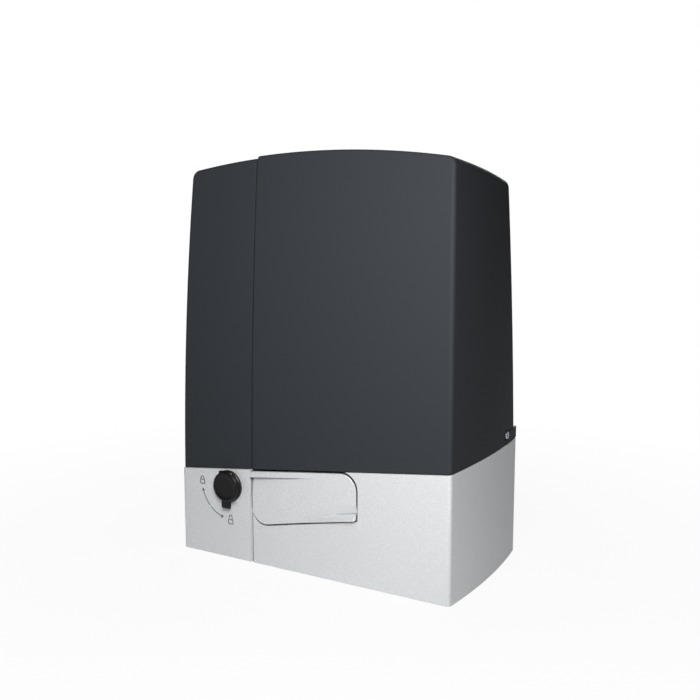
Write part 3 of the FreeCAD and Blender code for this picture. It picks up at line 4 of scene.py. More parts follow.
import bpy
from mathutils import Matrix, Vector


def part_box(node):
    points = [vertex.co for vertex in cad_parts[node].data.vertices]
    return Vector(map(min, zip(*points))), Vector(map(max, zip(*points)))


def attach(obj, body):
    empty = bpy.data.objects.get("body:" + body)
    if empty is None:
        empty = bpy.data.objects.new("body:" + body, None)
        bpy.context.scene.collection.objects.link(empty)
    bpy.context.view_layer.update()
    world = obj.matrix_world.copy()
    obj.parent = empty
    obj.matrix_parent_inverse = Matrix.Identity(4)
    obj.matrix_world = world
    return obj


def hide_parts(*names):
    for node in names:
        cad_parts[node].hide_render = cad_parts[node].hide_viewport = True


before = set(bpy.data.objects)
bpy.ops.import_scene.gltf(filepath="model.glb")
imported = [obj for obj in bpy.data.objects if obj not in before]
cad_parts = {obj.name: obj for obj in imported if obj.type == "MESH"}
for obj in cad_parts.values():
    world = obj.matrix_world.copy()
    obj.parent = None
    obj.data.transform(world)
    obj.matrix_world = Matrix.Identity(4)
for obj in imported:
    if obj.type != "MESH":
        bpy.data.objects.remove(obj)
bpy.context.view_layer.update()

import math

import bmesh
import bpy
import numpy as np

# ---------------------------------------------------------------- camera, floor and light
# The operator stands on a white studio floor. A small soft lamp close in front, just above the
# camera's line, lights the front, most at its right end; a wider one hangs over it and a low one
# stands behind.

LENS_LENGTH, SENSOR_WIDE = 51.83, 36  # millimetres
CAMERA_PLACE = (0.4544, -0.7428, 0.3092)
CAMERA_DOWN, CAMERA_ROUND = 8.395, 31.593  # degrees below level, and round from the front

lens = bpy.data.cameras.new("camera")
lens.lens = LENS_LENGTH
lens.sensor_width = SENSOR_WIDE
camera = bpy.data.objects.new("camera", lens)
camera.location = CAMERA_PLACE
camera.rotation_euler = (math.radians(90 - CAMERA_DOWN), 0, math.radians(CAMERA_ROUND))
bpy.context.scene.collection.objects.link(camera)
bpy.context.scene.camera = camera
bpy.context.scene.view_settings.view_transform = "Standard"


def linear(code):
    """An sRGB hex colour as linear red, green, blue and alpha."""
    parts = [int(code[i:i + 2], 16) / 255 for i in (1, 3, 5)]
    return [p / 12.92 if p <= 0.04045 else ((p + 0.055) / 1.055) ** 2.4 for p in parts] + [1]


def add(tree, kind, values, links=None):
    """Add a node, set its properties and plain inputs, fill its ramp, and link its other inputs."""
    node = tree.nodes.new(kind)
    for name, value in values.items():
        if name == "stops":
            for stop, (place, colour) in zip(node.color_ramp.elements, value):
                stop.position = place
                stop.color = colour
        elif isinstance(name, str) and name not in node.inputs:
            setattr(node, name, value)
        else:
            node.inputs[name].default_value = value
    for name, source in (links or {}).items():
        tree.links.new(source, node.inputs[name])
    return node


def empty_material(name):
    """A material with nothing in its tree but the output."""
    material = bpy.data.materials.new(name)
    material.use_nodes = True
    material.node_tree.nodes.clear()
    return material, material.node_tree, material.node_tree.nodes.new("ShaderNodeOutputMaterial")


# the floor lies just under the foot, so that no two faces share a plane
FLOOR_HALF, FLOOR_DROP = 6.0, 0.0002
floor_corners = [(x * FLOOR_HALF, y * FLOOR_HALF, -FLOOR_DROP)
                 for x, y in ((-1, -1), (1, -1), (1, 1), (-1, 1))]
floor_mesh = bpy.data.meshes.new("floor")
floor_mesh.from_pydata(floor_corners, [], [(0, 1, 2, 3)])
floor = bpy.data.objects.new("floor", floor_mesh)
bpy.context.scene.collection.objects.link(floor)

# matt white board: the camera sees it white, but for a small lit share near the foot that holds the
# shadow, and the object's gloss sees part of that white
GLOSS_SHARE = 0.4
SHADOW_NEAR, SHADOW_FAR, WHITE_AT_FOOT = 0.2, 0.6, 0.93
white_floor, tree, output = empty_material("white_floor")
path = add(tree, "ShaderNodeLightPath", {})
mirrored = add(tree, "ShaderNodeMath", {"operation": "MULTIPLY", 1: GLOSS_SHARE},
               {0: path.outputs["Is Glossy Ray"]})
seen = add(tree, "ShaderNodeMath", {"operation": "MAXIMUM"},
           {0: path.outputs["Is Camera Ray"], 1: mirrored.outputs[0]})
seen = add(tree, "ShaderNodeMath", {"operation": "MAXIMUM"},
           {0: seen.outputs[0], 1: path.outputs["Is Transmission Ray"]})
place = add(tree, "ShaderNodeTexCoord", {})
away = add(tree, "ShaderNodeVectorMath", {"operation": "LENGTH"}, {0: place.outputs["Object"]})
share = add(tree, "ShaderNodeMapRange",
            {"From Min": SHADOW_NEAR, "From Max": SHADOW_FAR, "To Min": WHITE_AT_FOOT, "To Max": 1.0},
            {"Value": away.outputs["Value"]})
lit = add(tree, "ShaderNodeMath", {"operation": "MULTIPLY"}, {0: seen.outputs[0], 1: share.outputs[0]})
matt = add(tree, "ShaderNodeBsdfDiffuse", {"Color": linear("#c4c4c4")})
glow = add(tree, "ShaderNodeEmission", {"Color": (1, 1, 1, 1), "Strength": 1.0})
both = add(tree, "ShaderNodeMixShader", {}, {0: lit.outputs[0], 1: matt.outputs[0], 2: glow.outputs[0]})
tree.links.new(both.outputs[0], output.inputs["Surface"])
floor_mesh.materials.append(white_floor)

# white beyond the floor's end, and a weak even light from the walls
ROOM_LEVEL = 0.06
world = bpy.data.worlds.new("room")
bpy.context.scene.world = world
world.use_nodes = True
tree = world.node_tree
tree.nodes.clear()
path = add(tree, "ShaderNodeLightPath", {})
seen = add(tree, "ShaderNodeMath", {"operation": "MAXIMUM"},
           {0: path.outputs["Is Camera Ray"], 1: path.outputs["Is Transmission Ray"]})
room = add(tree, "ShaderNodeBackground", {"Color": (1, 1, 1, 1), "Strength": ROOM_LEVEL})
white = add(tree, "ShaderNodeBackground", {"Color": (1, 1, 1, 1), "Strength": 1.0})
both = add(tree, "ShaderNodeMixShader", {}, {0: seen.outputs[0], 1: room.outputs[0], 2: white.outputs[0]})
output = tree.nodes.new("ShaderNodeOutputWorld")
tree.links.new(both.outputs[0], output.inputs["Surface"])

LAMP_AIM = 0.17  # metres above the floor, about the operator's middle


def soft_light(name, bearing, height, distance, side, power):
    """A square lamp aimed at the operator's middle: its bearing round to the right of the front and its
    height over it in degrees, its distance and side in metres, its power in watts."""
    lamp = bpy.data.lights.new(name, "AREA")
    lamp.size = side
    lamp.energy = power
    holder = bpy.data.objects.new(name, lamp)
    turn, rise = math.radians(bearing), math.radians(height)
    level = distance * math.cos(rise)
    holder.location = (level * math.sin(turn), -level * math.cos(turn), LAMP_AIM + distance * math.sin(rise))
    holder.rotation_euler = (math.pi / 2 - rise, 0, turn)
    bpy.context.scene.collection.objects.link(holder)


soft_light("key_light", bearing=27, height=24, distance=0.58, side=0.2, power=3.7)
soft_light("top_light", bearing=14, height=66, distance=1.1, side=0.5, power=1.8)
soft_light("back_light", bearing=198, height=14, distance=1.3, side=0.6, power=8)

# ---------------------------------------------------------------- base casting
# Die-cast aluminium base under a silver-grey metallic stoving paint, sprayed over the fettled casting.
# A dark grey strip down its front groove's floor is painted shadow, for a slot where the die's slides met.

MM = 0.001
NOISE_LOW, NOISE_HIGH = 0.3, 0.7  # noise seldom leaves these values
ROUGH_SPREAD = 0.06
BAND_RELIEF = 0.04  # height of a machined line, as a share of the lines' spacing


def surface(name, colour, rough, metal=0.0, mottle=0.05, grain=0.8, relief=0.01, shine=0.5, edge=0.3,
            bands=None):
    """A painted, moulded, cast or machined finish.

    Noise with lumps `grain` mm across lightens and darkens the colour by the share `mottle` and moves
    the roughness a little; noise three times finer raises the surface by `relief` mm; edges shade as
    if rounded by `edge` mm. `shine` is the shader's specular level. `bands` is (axis turn, spacing in
    mm, depth) of straight machined or stacked lines, darker in their hollows by the share `depth`:
    painted shade."""
    material, tree, output = empty_material(name)
    place = add(tree, "ShaderNodeTexCoord", {}).outputs["Object"]
    lumps = add(tree, "ShaderNodeTexNoise", {"Scale": 1000 / grain, "Detail": 2.0, "Roughness": 0.6},
                {"Vector": place})
    fine = add(tree, "ShaderNodeTexNoise", {"Scale": 3000 / grain, "Detail": 1.0}, {"Vector": place})
    dark = [c * (1 - mottle) for c in linear(colour)[:3]] + [1]
    light = [min(1, c * (1 + mottle)) for c in linear(colour)[:3]] + [1]
    tint = add(tree, "ShaderNodeValToRGB", {"stops": [(NOISE_LOW, dark), (NOISE_HIGH, light)]},
               {"Fac": lumps.outputs["Fac"]})
    gloss = add(tree, "ShaderNodeMapRange", {"From Min": NOISE_LOW, "From Max": NOISE_HIGH,
                                             "To Min": rough - ROUGH_SPREAD, "To Max": rough + ROUGH_SPREAD},
                {"Value": lumps.outputs["Fac"]})
    colour_out = tint.outputs["Color"]
    round_edge = add(tree, "ShaderNodeBevel", {"samples": 4, "Radius": edge * MM})
    bump = add(tree, "ShaderNodeBump", {"Strength": 1.0, "Distance": relief * MM},
               {"Height": fine.outputs["Fac"], "Normal": round_edge.outputs["Normal"]})
    if bands:
        turn, spacing, depth = bands
        turned = add(tree, "ShaderNodeMapping", {"Rotation": turn}, {"Vector": place})
        # the wave texture repeats every 2 pi / 20 of its own unit
        lines = add(tree, "ShaderNodeTexWave", {"bands_direction": "X", "Distortion": 0.0, "Detail": 0.0,
                                                "Scale": 2 * math.pi / 20 * 1000 / spacing},
                    {"Vector": turned.outputs["Vector"]})
        # the lines' hollows are drawn darker by the share `depth`: painted shade
        shade = add(tree, "ShaderNodeMapRange", {"To Min": 1 - depth, "To Max": 1.0},
                    {"Value": lines.outputs["Fac"]})
        mixed = add(tree, "ShaderNodeVectorMath", {"operation": "SCALE"},
                    {0: colour_out, "Scale": shade.outputs["Result"]})
        colour_out = mixed.outputs["Vector"]
        bump = add(tree, "ShaderNodeBump", {"Strength": 1.0, "Distance": BAND_RELIEF * spacing * MM},
                   {"Height": lines.outputs["Fac"], "Normal": bump.outputs["Normal"]})
    shader = add(tree, "ShaderNodeBsdfPrincipled", {"Metallic": metal, "Specular IOR Level": shine},
                 {"Base Color": colour_out, "Roughness": gloss.outputs["Result"],
                  "Normal": bump.outputs["Normal"]})
    tree.links.new(shader.outputs["BSDF"], output.inputs["Surface"])
    return material


def coat(material, *names):
    """Give these CAD nodes one material."""
    for name in names:
        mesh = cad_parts[name].data
        mesh.materials.clear()
        mesh.materials.append(material)


# satin, with the aluminium flakes' even pearl; flakes 0.7 mm across stand for the real 0.05 mm ones,
# which are too fine to see from here
silver_paint = surface("silver_metallic_paint", "#dcdee0", 0.42, metal=0.3, mottle=0.13, grain=0.7,
                       relief=0.03, edge=0.6)
coat(silver_paint, "base_housing")


def grid_faces(rows, columns, round_columns=False, start=0):
    """Quads that join the points of a grid row by row, each row closed on itself if asked."""
    row, column = np.meshgrid(np.arange(rows - 1), np.arange(columns if round_columns else columns - 1),
                              indexing="ij")
    here, beside = row * columns + column, row * columns + (column + 1) % columns
    quads = np.stack([here, beside, beside + columns, here + columns], 2).reshape(-1, 4)
    return (quads + start).tolist()


def build(name, points, faces, material, body, smooth=35):
    """Make a piece from points in millimetres: doubles merged, faces turned outwards, shaded smooth
    below the angle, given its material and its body."""
    mesh = bpy.data.meshes.new(name)
    mesh.from_pydata((np.asarray(points).reshape(-1, 3) * MM).tolist(), [], faces)
    form = bmesh.new()
    form.from_mesh(mesh)
    bmesh.ops.remove_doubles(form, verts=form.verts, dist=1e-6)
    bmesh.ops.recalc_face_normals(form, faces=form.faces)
    for side in form.faces:
        side.smooth = True
    for line in form.edges:
        line.smooth = len(line.link_faces) != 2 or line.calc_face_angle(0) < math.radians(smooth)
    form.to_mesh(mesh)
    form.free()
    mesh.materials.append(material)
    piece = bpy.data.objects.new(name, mesh)
    bpy.context.scene.collection.objects.link(piece)
    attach(piece, body)
    return piece


def frame_of(facing):
    """Across, up and outward directions for a piece that faces along an axis."""
    return {"-y": np.array([[1, 0, 0], [0, 0, 1], [0, -1, 0]]),
            "+y": np.array([[-1, 0, 0], [0, 0, 1], [0, 1, 0]]),
            "+z": np.array([[1, 0, 0], [0, 1, 0], [0, 0, 1]]),
            "-z": np.array([[-1, 0, 0], [0, 1, 0], [0, 0, -1]]),
            "+x": np.array([[0, 1, 0], [0, 0, 1], [1, 0, 0]])}[facing]


def moulding(name, outline, profile, spots, facing, material, body):
    """An outline carried along a profile, at one or more spots.

    Each profile step gives how far the outline is drawn in, along its own normals, and how far out
    it stands from the spot; the first and last steps are closed with flat faces."""
    outline = np.asarray(outline, float)
    along = np.roll(outline, -1, axis=0) - np.roll(outline, 1, axis=0)
    normal = np.stack([along[:, 1], -along[:, 0]], 1) / np.linalg.norm(along, axis=1)[:, None]
    drawn, out = (np.array(steps)[:, None, None] for steps in zip(*profile))
    flat = outline[None] - drawn * normal[None]
    form = np.concatenate([flat, np.broadcast_to(out, flat.shape[:2] + (1,))], axis=2) @ frame_of(facing)
    rows, columns = form.shape[:2]
    points = (np.asarray(spots, float)[:, None, None, :] + form[None]).reshape(-1, 3)
    faces = []
    for start in range(0, len(points), rows * columns):
        faces += grid_faces(rows, columns, round_columns=True, start=start)
        faces += [list(range(start + columns - 1, start - 1, -1)),
                  list(range(start + (rows - 1) * columns, start + rows * columns))]
    return build(name, points, faces, material, body)


# painted shadow: a dull dark grey strip on the groove's floor, for the shade deep in the narrow slot
groove_painted_shadow = surface("groove_shadow_paint", "#55595b", 0.7, mottle=0.06, grain=0.8, relief=0.01, shine=0.2)
GROOVE_X, GROOVE_FLOOR = -56.25, -72.5
SHADE_STRIP_HALF, SHADE_STRIP_FOOT, SHADE_STRIP_TOP, SHADE_STRIP_PROUD = 0.35, 0.4, 44, 0.06
shade_strip_outline = [(-SHADE_STRIP_HALF, SHADE_STRIP_FOOT), (SHADE_STRIP_HALF, SHADE_STRIP_FOOT), (SHADE_STRIP_HALF, SHADE_STRIP_TOP),
                (-SHADE_STRIP_HALF, SHADE_STRIP_TOP)]
moulding("front_groove_shadow_strip", shade_strip_outline, [(0, 0), (0, SHADE_STRIP_PROUD)], [(GROOVE_X, GROOVE_FLOOR, 0)], "-y",
         groove_painted_shadow, "base")

# ---------------------------------------------------------------- castings inside the base
# Gear case, lever tray and lid are sand- and die-cast aluminium left bare; the bearing flange and
# the motor's end cap are machined all over. They are screwed together on the base's floor.

# dull grey, cloudy and slightly rough from the mould
bare_cast = surface("bare_cast_aluminium", "#a9acae", 0.55, metal=0.9, mottle=0.12, grain=1.5, relief=0.05)
coat(bare_cast, "gear_case", "lever_pocket", "gearcase_lid")
# brighter, with the cutter's slanted feed lines, drawn 1.8 mm apart so that they show
milled = surface("milled_aluminium", "#c4c7c9", 0.34, metal=1.0, mottle=0.04, grain=0.5, relief=0.004,
                 bands=((0, 0, math.radians(45)), 1.8, 0.08))
coat(milled, "bearing_flange", "motor_end_cap")

# ---------------------------------------------------------------- fasteners and sheet steel
# Rolled-thread screws and pressed steel parts, zinc plated and passivated. The screws hold the
# castings, the lid, the flange, the board, the transformer and the cover.

# bluish and bright, with a soft cloudy bloom
zinc = surface("zinc_plated_steel", "#c3c8cf", 0.3, metal=1.0, mottle=0.07, grain=1.6, relief=0.006)
coat(zinc, "cover_screws", "flange_screws", "lid_screws", "motor_bolts", "levelling_screws", "board_screws",
     "transformer_screws", "transformer_bracket", "release_cam", "selector_fork", "pocket_screws",
     "case_bolts", "lock_cam", "pinion_washer", "pinion_screw")

# ---------------------------------------------------------------- shafts, bearings and pins
# Turned steel, ground where it runs in a bearing, oiled and left bare. The worm is hobbed on its
# own shaft, and the limit lever's hub is turned from bar.

# bright and even, because the grinding lines are too fine to see
ground_steel = surface("ground_steel", "#b7babd", 0.2, metal=1.0, mottle=0.03, grain=0.6, relief=0.002)
coat(ground_steel, "output_shaft", "hinge_pin", "release_rod", "clutch_ring", "front_bearing", "rear_bearing",
     "worm_bearing_low", "worm_bearing_high", "motor_bearing", "limit_pivot_pin")
# a little duller, with tool lines round it, drawn 1 mm apart so that they show
hobbed_steel = surface("hobbed_steel", "#a8abae", 0.3, metal=1.0, mottle=0.05, grain=0.9, relief=0.006,
                       bands=((0, math.radians(90), 0), 1.0, 0.12))
coat(hobbed_steel, "worm_shaft", "limit_lever")

# ---------------------------------------------------------------- worm wheel
# Centrifugally cast gear bronze, its teeth hobbed. It runs in the gear case's oil and drives the
# shaft through the clutch ring's dogs.

# warm yellow-brown, darker in stains where the oil lies
bronze = surface("gear_bronze", "#b98b4d", 0.3, metal=1.0, mottle=0.12, grain=3.0, relief=0.006)
coat(bronze, "worm_wheel")

# ---------------------------------------------------------------- pinion
# Module 4 steel pinion that meshes with the gate's rack, hobbed, then zinc plated and passivated
# yellow, and held on the shaft's end by a washer and a screw.

# pale yellow-grey, with the cutter's steps along each tooth, drawn 1.6 mm apart so that they show
cut_steel = surface("plated_gear_steel", "#c9c6ba", 0.32, metal=1.0, mottle=0.08, grain=1.4, relief=0.008,
                    bands=((0, 0, math.radians(90)), 1.6, 0.1))
coat(cut_steel, "pinion")

# ---------------------------------------------------------------- seals and grommet
# Moulded nitrile rubber: the output shaft's lip seal pressed into the flange, and the grommet that
# snaps into the cable hole in the floor.

# matt and nearly black, with a faint moulded grain
rubber = surface("black_rubber", "#1b1b1b", 0.78, mottle=0.08, grain=0.6, relief=0.02, shine=0.3)
coat(rubber, "cable_grommet", "output_seal")

# ---------------------------------------------------------------- motor
# Flanged induction motor: die-cast housing under black stoving enamel, a stack of punched core
# plates, and enamelled copper coils tied at both ends, with the start capacitor beside it.

# hard, fairly glossy black with a little orange peel
motor_black = surface("motor_enamel", "#2a2c2f", 0.35, mottle=0.06, grain=1.2, relief=0.03)
coat(motor_black, "motor_housing")
# dark steel with the plates' edges round it, drawn 2 mm apart for plates 0.5 mm thick
laminations = surface("core_laminations", "#62656a", 0.42, metal=0.8, mottle=0.1, grain=0.7, relief=0.01,
                      bands=((0, math.radians(90), 0), 2.0, 0.35))
coat(laminations, "stator_core", "rotor_core")
# orange-red and lacquered, with the grooves between the turns drawn 2.2 mm apart for 0.6 mm wire
copper = surface("enamelled_copper", "#b8632a", 0.28, metal=0.9, mottle=0.1, grain=1.0, relief=0.02,
                 bands=((0, math.radians(90), 0), 2.2, 0.35))
coat(copper, "stator_windings")
# off-white moulded polypropylene with a slight gloss
white_case = surface("capacitor_case", "#e4e4e0", 0.35, mottle=0.03, grain=2.0, relief=0.01)
coat(white_case, "capacitor")

# ---------------------------------------------------------------- limit switch
# Sealed nylon box with a spring lever. A coil of hard wire round the lever's finger lets the stops
# on the gate's rack bend it to either side; four cross-headed screws close the box.

# deep black with the satin gloss of a polished tool
black_nylon = surface("black_nylon", "#0c0c0d", 0.38, mottle=0.06, grain=0.6, relief=0.012, shine=0.3)
coat(black_nylon, "limit_switch_box", "capacitor_clip")


def corners(node):
    """Lowest and highest corner of a CAD node, in millimetres."""
    return [np.array(corner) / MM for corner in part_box(node)]


def tube(name, paths, radius, material, body, sides=8):
    """Round bars along paths of points: at each point a circle stands square to the direction
    between its neighbours, turned as little as it can be from one upright."""
    angle = np.arange(sides) * 2 * np.pi / sides
    upright, slanted = np.array([0, 1, 0]), np.array([0.3, 0.1, 1])
    points, faces = [], []
    for path in paths:
        path = np.asarray(path, float)
        ahead = np.gradient(path, axis=0)
        ahead /= np.linalg.norm(ahead, axis=1)[:, None]
        guide = upright if abs(ahead[:, 1]).max() < 0.9 else slanted
        left = np.cross(guide, ahead)
        left /= np.linalg.norm(left, axis=1)[:, None]
        over = np.cross(ahead, left)
        circle = np.cos(angle)[:, None] * left[:, None] + np.sin(angle)[:, None] * over[:, None]
        start = sum(len(ring) for ring in points)
        points.append((path[:, None] + radius * circle).reshape(-1, 3))
        faces += grid_faces(len(path), sides, round_columns=True, start=start)
        faces += [list(range(start + sides - 1, start - 1, -1)),
                  list(range(start + (len(path) - 1) * sides, start + len(path) * sides))]
    return build(name, np.concatenate(points), faces, material, body)


# cold bright steel, drawn hard and left bare
spring_wire = surface("spring_steel", "#9fa3a6", 0.22, metal=1.0, mottle=0.04, grain=0.7, relief=0.003)
finger_low, finger_high = corners("limit_lever")
finger_y = (finger_low[1] + finger_high[1]) / 2
SPRING_TURNS, SPRING_WIRE, SPRING_RADIUS, POINTS_A_TURN = 15, 0.45, 1.95, 20
SPRING_FOOT, SPRING_TOP = 148, 180
turn = np.linspace(0, SPRING_TURNS * 2 * np.pi, SPRING_TURNS * POINTS_A_TURN)
coil = np.stack([SPRING_RADIUS * np.cos(turn), finger_y + SPRING_RADIUS * np.sin(turn),
                 np.linspace(SPRING_FOOT, SPRING_TOP, len(turn))], 1)
tube("limit_spring", [coil], SPRING_WIRE, spring_wire, "limit_lever")


def disc(radius, steps=32):
    """Points of a circle, counter-clockwise."""
    angle = np.arange(steps) * 2 * np.pi / steps
    return np.stack([radius * np.cos(angle), radius * np.sin(angle)], 1)


def domed(height, edge):
    """Profile of a flat-topped form with a quarter-round edge."""
    angle = np.linspace(0, np.pi / 2, 5)
    return [(0, 0)] + [(edge * (1 - math.cos(a)), height - edge * (1 - math.sin(a))) for a in angle]


# a cross with arms 1 wide and 4 across
CROSS = np.array([(2, -0.5), (2, 0.5), (0.5, 0.5), (0.5, 2), (-0.5, 2), (-0.5, 0.5), (-2, 0.5), (-2, -0.5),
                  (-0.5, -0.5), (-0.5, -2), (0.5, -2), (0.5, -0.5)])
HEAD_IN, HEAD_SUNK, HEAD_RADIUS, HEAD_HIGH, HEAD_ROUND, CROSS_SCALE = 6, 0.3, 2.6, 1.5, 0.8, 0.75
CROSS_FOOT, CROSS_HIGH = 1.42, 0.14
box_low, box_high = corners("limit_switch_box")
box_spots = [(x, box_high[1] - HEAD_SUNK, z) for x in (box_low[0] + HEAD_IN, box_high[0] - HEAD_IN)
             for z in (box_low[2] + HEAD_IN, box_high[2] - HEAD_IN)]
moulding("switch_box_screws", disc(HEAD_RADIUS, 24), domed(HEAD_HIGH, HEAD_ROUND), box_spots, "+y", zinc,
         "base")
# painted shade: a driver's recess holds shade, so it is drawn as a dark thin plate
recess = surface("recess_painted_shade", "#202224", 0.6, metal=0.5, mottle=0.1, grain=0.5, relief=0.01)
moulding("switch_box_screw_crosses", CROSS * CROSS_SCALE, [(0, 0), (0, CROSS_HIGH)],
         [(x, y + CROSS_FOOT, z) for x, y, z in box_spots], "+y", recess, "base")

# ---------------------------------------------------------------- transformer
# Stacked E and I plates with the coil wound on a bobbin between them and wrapped in polyester
# tape; solder tags stand on the bobbin's edge.

# dark steel with the plates' edges along its sides, drawn 2 mm apart for plates 0.5 mm thick
stack = surface("transformer_plates", "#565a60", 0.42, metal=0.75, mottle=0.12, grain=0.8, relief=0.01,
                bands=((0, 0, math.radians(90)), 2.0, 0.4))
coat(stack, "transformer_core")
# amber yellow and glossy, with the edge of each 16 mm lap showing
tape = surface("polyester_tape", "#d9a521", 0.32, mottle=0.06, grain=2.5, relief=0.02,
               bands=((0, math.radians(90), 0), 16.0, 0.12))
coat(tape, "transformer_coil")


def tile(wide, tall, corner, steps=5):
    """Points of a rectangle with round corners, counter-clockwise from its lower right."""
    angle = np.linspace(-np.pi / 2, 0, steps)
    first = np.stack([np.cos(angle), np.sin(angle)], 1) * corner
    turns = [np.array([[1, 0], [0, 1]]), np.array([[0, 1], [-1, 0]]), np.array([[-1, 0], [0, -1]]),
             np.array([[0, -1], [1, 0]])]
    middles = np.array([[1, -1], [1, 1], [-1, 1], [-1, -1]]) * [wide / 2 - corner, tall / 2 - corner]
    return np.concatenate([middle + first @ turn for middle, turn in zip(middles, turns)])


# silvery and soft, like all tinned leads
tinned = surface("tinned_brass", "#cfcfca", 0.28, metal=1.0, mottle=0.05, grain=0.8, relief=0.004)
TAG_COUNT, TAG_PITCH, TAG_WIDE, TAG_THICK, TAG_HIGH, TAG_SUNK = 5, 6.2, 2.8, 0.6, 5, 1
TAG_FROM_END, TAG_FROM_FRONT = 4, 3
coil_low, coil_high = corners("transformer_coil")
tag_spots = [(coil_low[0] + TAG_FROM_END + TAG_PITCH * i, coil_low[1] + TAG_FROM_FRONT, coil_high[2])
             for i in range(TAG_COUNT)]
moulding("transformer_tags", tile(TAG_WIDE, TAG_THICK, 0.1, 2),
         [(0.2, -TAG_SUNK), (0, 0.2 - TAG_SUNK), (0, TAG_HIGH - 0.8), (0.5, TAG_HIGH)], tag_spots, "+z",
         tinned, "base")

# ---------------------------------------------------------------- board carrier and control board
# Grey moulded carrier with the glass-epoxy control board screwed on. The copper tracks lie under
# the board's green solder mask.

# plain mid grey with a fine spark-eroded grain
grey_plastic = surface("grey_moulding", "#8a8d90", 0.5, mottle=0.04, grain=0.6, relief=0.015)
coat(grey_plastic, "board_carrier")
board_low, board_high = corners("control_board")
FACE = board_low[1]

# glossy green lacquer, lighter and slightly raised over the tracks, which are 0.6 mm wide and enclose
# fields 15 mm long and 2.7 mm high
TRACK_UNIT = 50 / 3  # millimetres
TRACK_LONG, TRACK_PITCH, TRACK_WIDE, TRACK_HIGH = 15.0, 8 / 3, 7 / 12, 0.04
solder_mask, tree, output = empty_material("solder_mask")
place = add(tree, "ShaderNodeTexCoord", {}).outputs["Object"]
turned = add(tree, "ShaderNodeMapping", {"Rotation": (math.radians(90), 0, 0)}, {"Vector": place})
tracks = add(tree, "ShaderNodeTexBrick",
             {"Scale": 1000 / TRACK_UNIT, "Mortar Size": TRACK_WIDE / TRACK_UNIT, "Mortar Smooth": 0.2,
              "Color1": linear("#0d4f28"), "Color2": linear("#10572c"), "Mortar": linear("#1d7a41"),
              "Brick Width": TRACK_LONG / TRACK_UNIT, "Row Height": TRACK_PITCH / TRACK_UNIT},
             {"Vector": turned.outputs["Vector"]})
raised = add(tree, "ShaderNodeBump", {"Strength": 1.0, "Distance": TRACK_HIGH * MM},
             {"Height": tracks.outputs["Fac"]})
shader = add(tree, "ShaderNodeBsdfPrincipled", {"Roughness": 0.28},
             {"Base Color": tracks.outputs["Color"], "Normal": raised.outputs["Normal"]})
tree.links.new(shader.outputs["BSDF"], output.inputs["Surface"])
coat(solder_mask, "control_board")

# ---------------------------------------------------------------- terminals, relays and fuse
# Screw terminals in polyamide, sealed relays in polyester cases, and a glass fuse with tinned caps
# in a nylon clip, all soldered to the board's front.

# fresh green with a moulded satin
terminal_green = surface("terminal_plastic", "#2c9a4b", 0.45, mottle=0.04, grain=0.6, relief=0.01)
coat(terminal_green, "terminal_blocks")
# strong blue, smooth and fairly glossy
relay_blue = surface("relay_case", "#1f4fa0", 0.3, mottle=0.03, grain=0.8, relief=0.006)
coat(relay_blue, "board_relays")
coat(black_nylon, "fuse_holder")

POLE_PITCH, POLE_FROM_END, POLE_UP, BLOCK_PITCH = 5.08, 2.85, 1.5, 28
block_low, block_high = corners("terminal_blocks")
pole_x = np.concatenate([block_low[0] + BLOCK_PITCH * number + POLE_FROM_END + POLE_PITCH * np.arange(poles)
                         for number, poles in enumerate((5, 5, 8))])
pole_z = (block_low[2] + block_high[2]) / 2
pole_spots = [(x, block_low[1], pole_z + POLE_UP) for x in pole_x]
way_y = (block_low[1] + FACE) / 2 + 1
moulding("terminal_screws", disc(1.8, 20), domed(0.6, 0.3), pole_spots, "-y", tinned, "base")
# the screws' slots and the wire ways' openings are thin dark plates, painted shade
moulding("terminal_screw_slots", tile(3.2, 0.6, 0.1, 2), [(0, 0.55), (0, 0.66)], pole_spots, "-y", recess,
         "base")
moulding("terminal_wire_ways", tile(3.4, 3.4, 0.4, 3), [(0, -0.05), (0, 0.05)],
         [(x, way_y, block_low[2]) for x in pole_x], "-z", recess, "base")

RELAY_WIDE, RELAY_PITCH = 18, 22
relay_low, relay_high = corners("board_relays")
relay_z = (relay_low[2] + relay_high[2]) / 2
relay_spots = [(relay_low[0] + RELAY_WIDE / 2 + RELAY_PITCH * i, relay_low[1], relay_z) for i in range(2)]
moulding("relay_seams", tile(17, 15, 0.6, 3), [(0, -0.1), (0, 0.2), (0.3, 0.4)], relay_spots, "-y",
         relay_blue, "base")

# 20 mm fuse: pale glass, very smooth
glass = surface("fuse_glass", "#dfe6e4", 0.08, mottle=0.02, grain=2.0, relief=0.001, shine=0.6)
FUSE_RADIUS, GLASS_LONG, FUSE_CAP_RADIUS, FUSE_CAP_LONG, FUSE_PROUD = 2.35, 10, 2.6, 5.4, 0.6
GLASS_FROM_END, CAPS_FROM_END = 8, (2.8, 17.8)
fuse_low, fuse_high = corners("fuse_holder")
fuse_z, fuse_y = (fuse_low[2] + fuse_high[2]) / 2, fuse_low[1] - FUSE_PROUD
moulding("fuse_tube", disc(FUSE_RADIUS, 24), [(0, 0), (0, GLASS_LONG)],
         [(fuse_low[0] + GLASS_FROM_END, fuse_y, fuse_z)], "+x", glass, "base")
moulding("fuse_caps", disc(FUSE_CAP_RADIUS, 24),
         [(0.4, 0), (0, 0.4), (0, FUSE_CAP_LONG - 0.4), (0.4, FUSE_CAP_LONG)],
         [(fuse_low[0] + along, fuse_y, fuse_z) for along in CAPS_FROM_END], "+x", tinned, "base")

# ---------------------------------------------------------------- parts on the control board
# Aluminium-can capacitors in unprinted sleeves, moulded chips with tinned legs, keys for teaching, a
# two-digit display, trimmers, lamps, sockets and a heatsink, all soldered to the board's front.


def on_board(*places):
    """Spots on the board's front, from distances across and up from its lower left corner."""
    return [(board_low[0] + across, FACE, board_low[2] + up) for across, up in places]


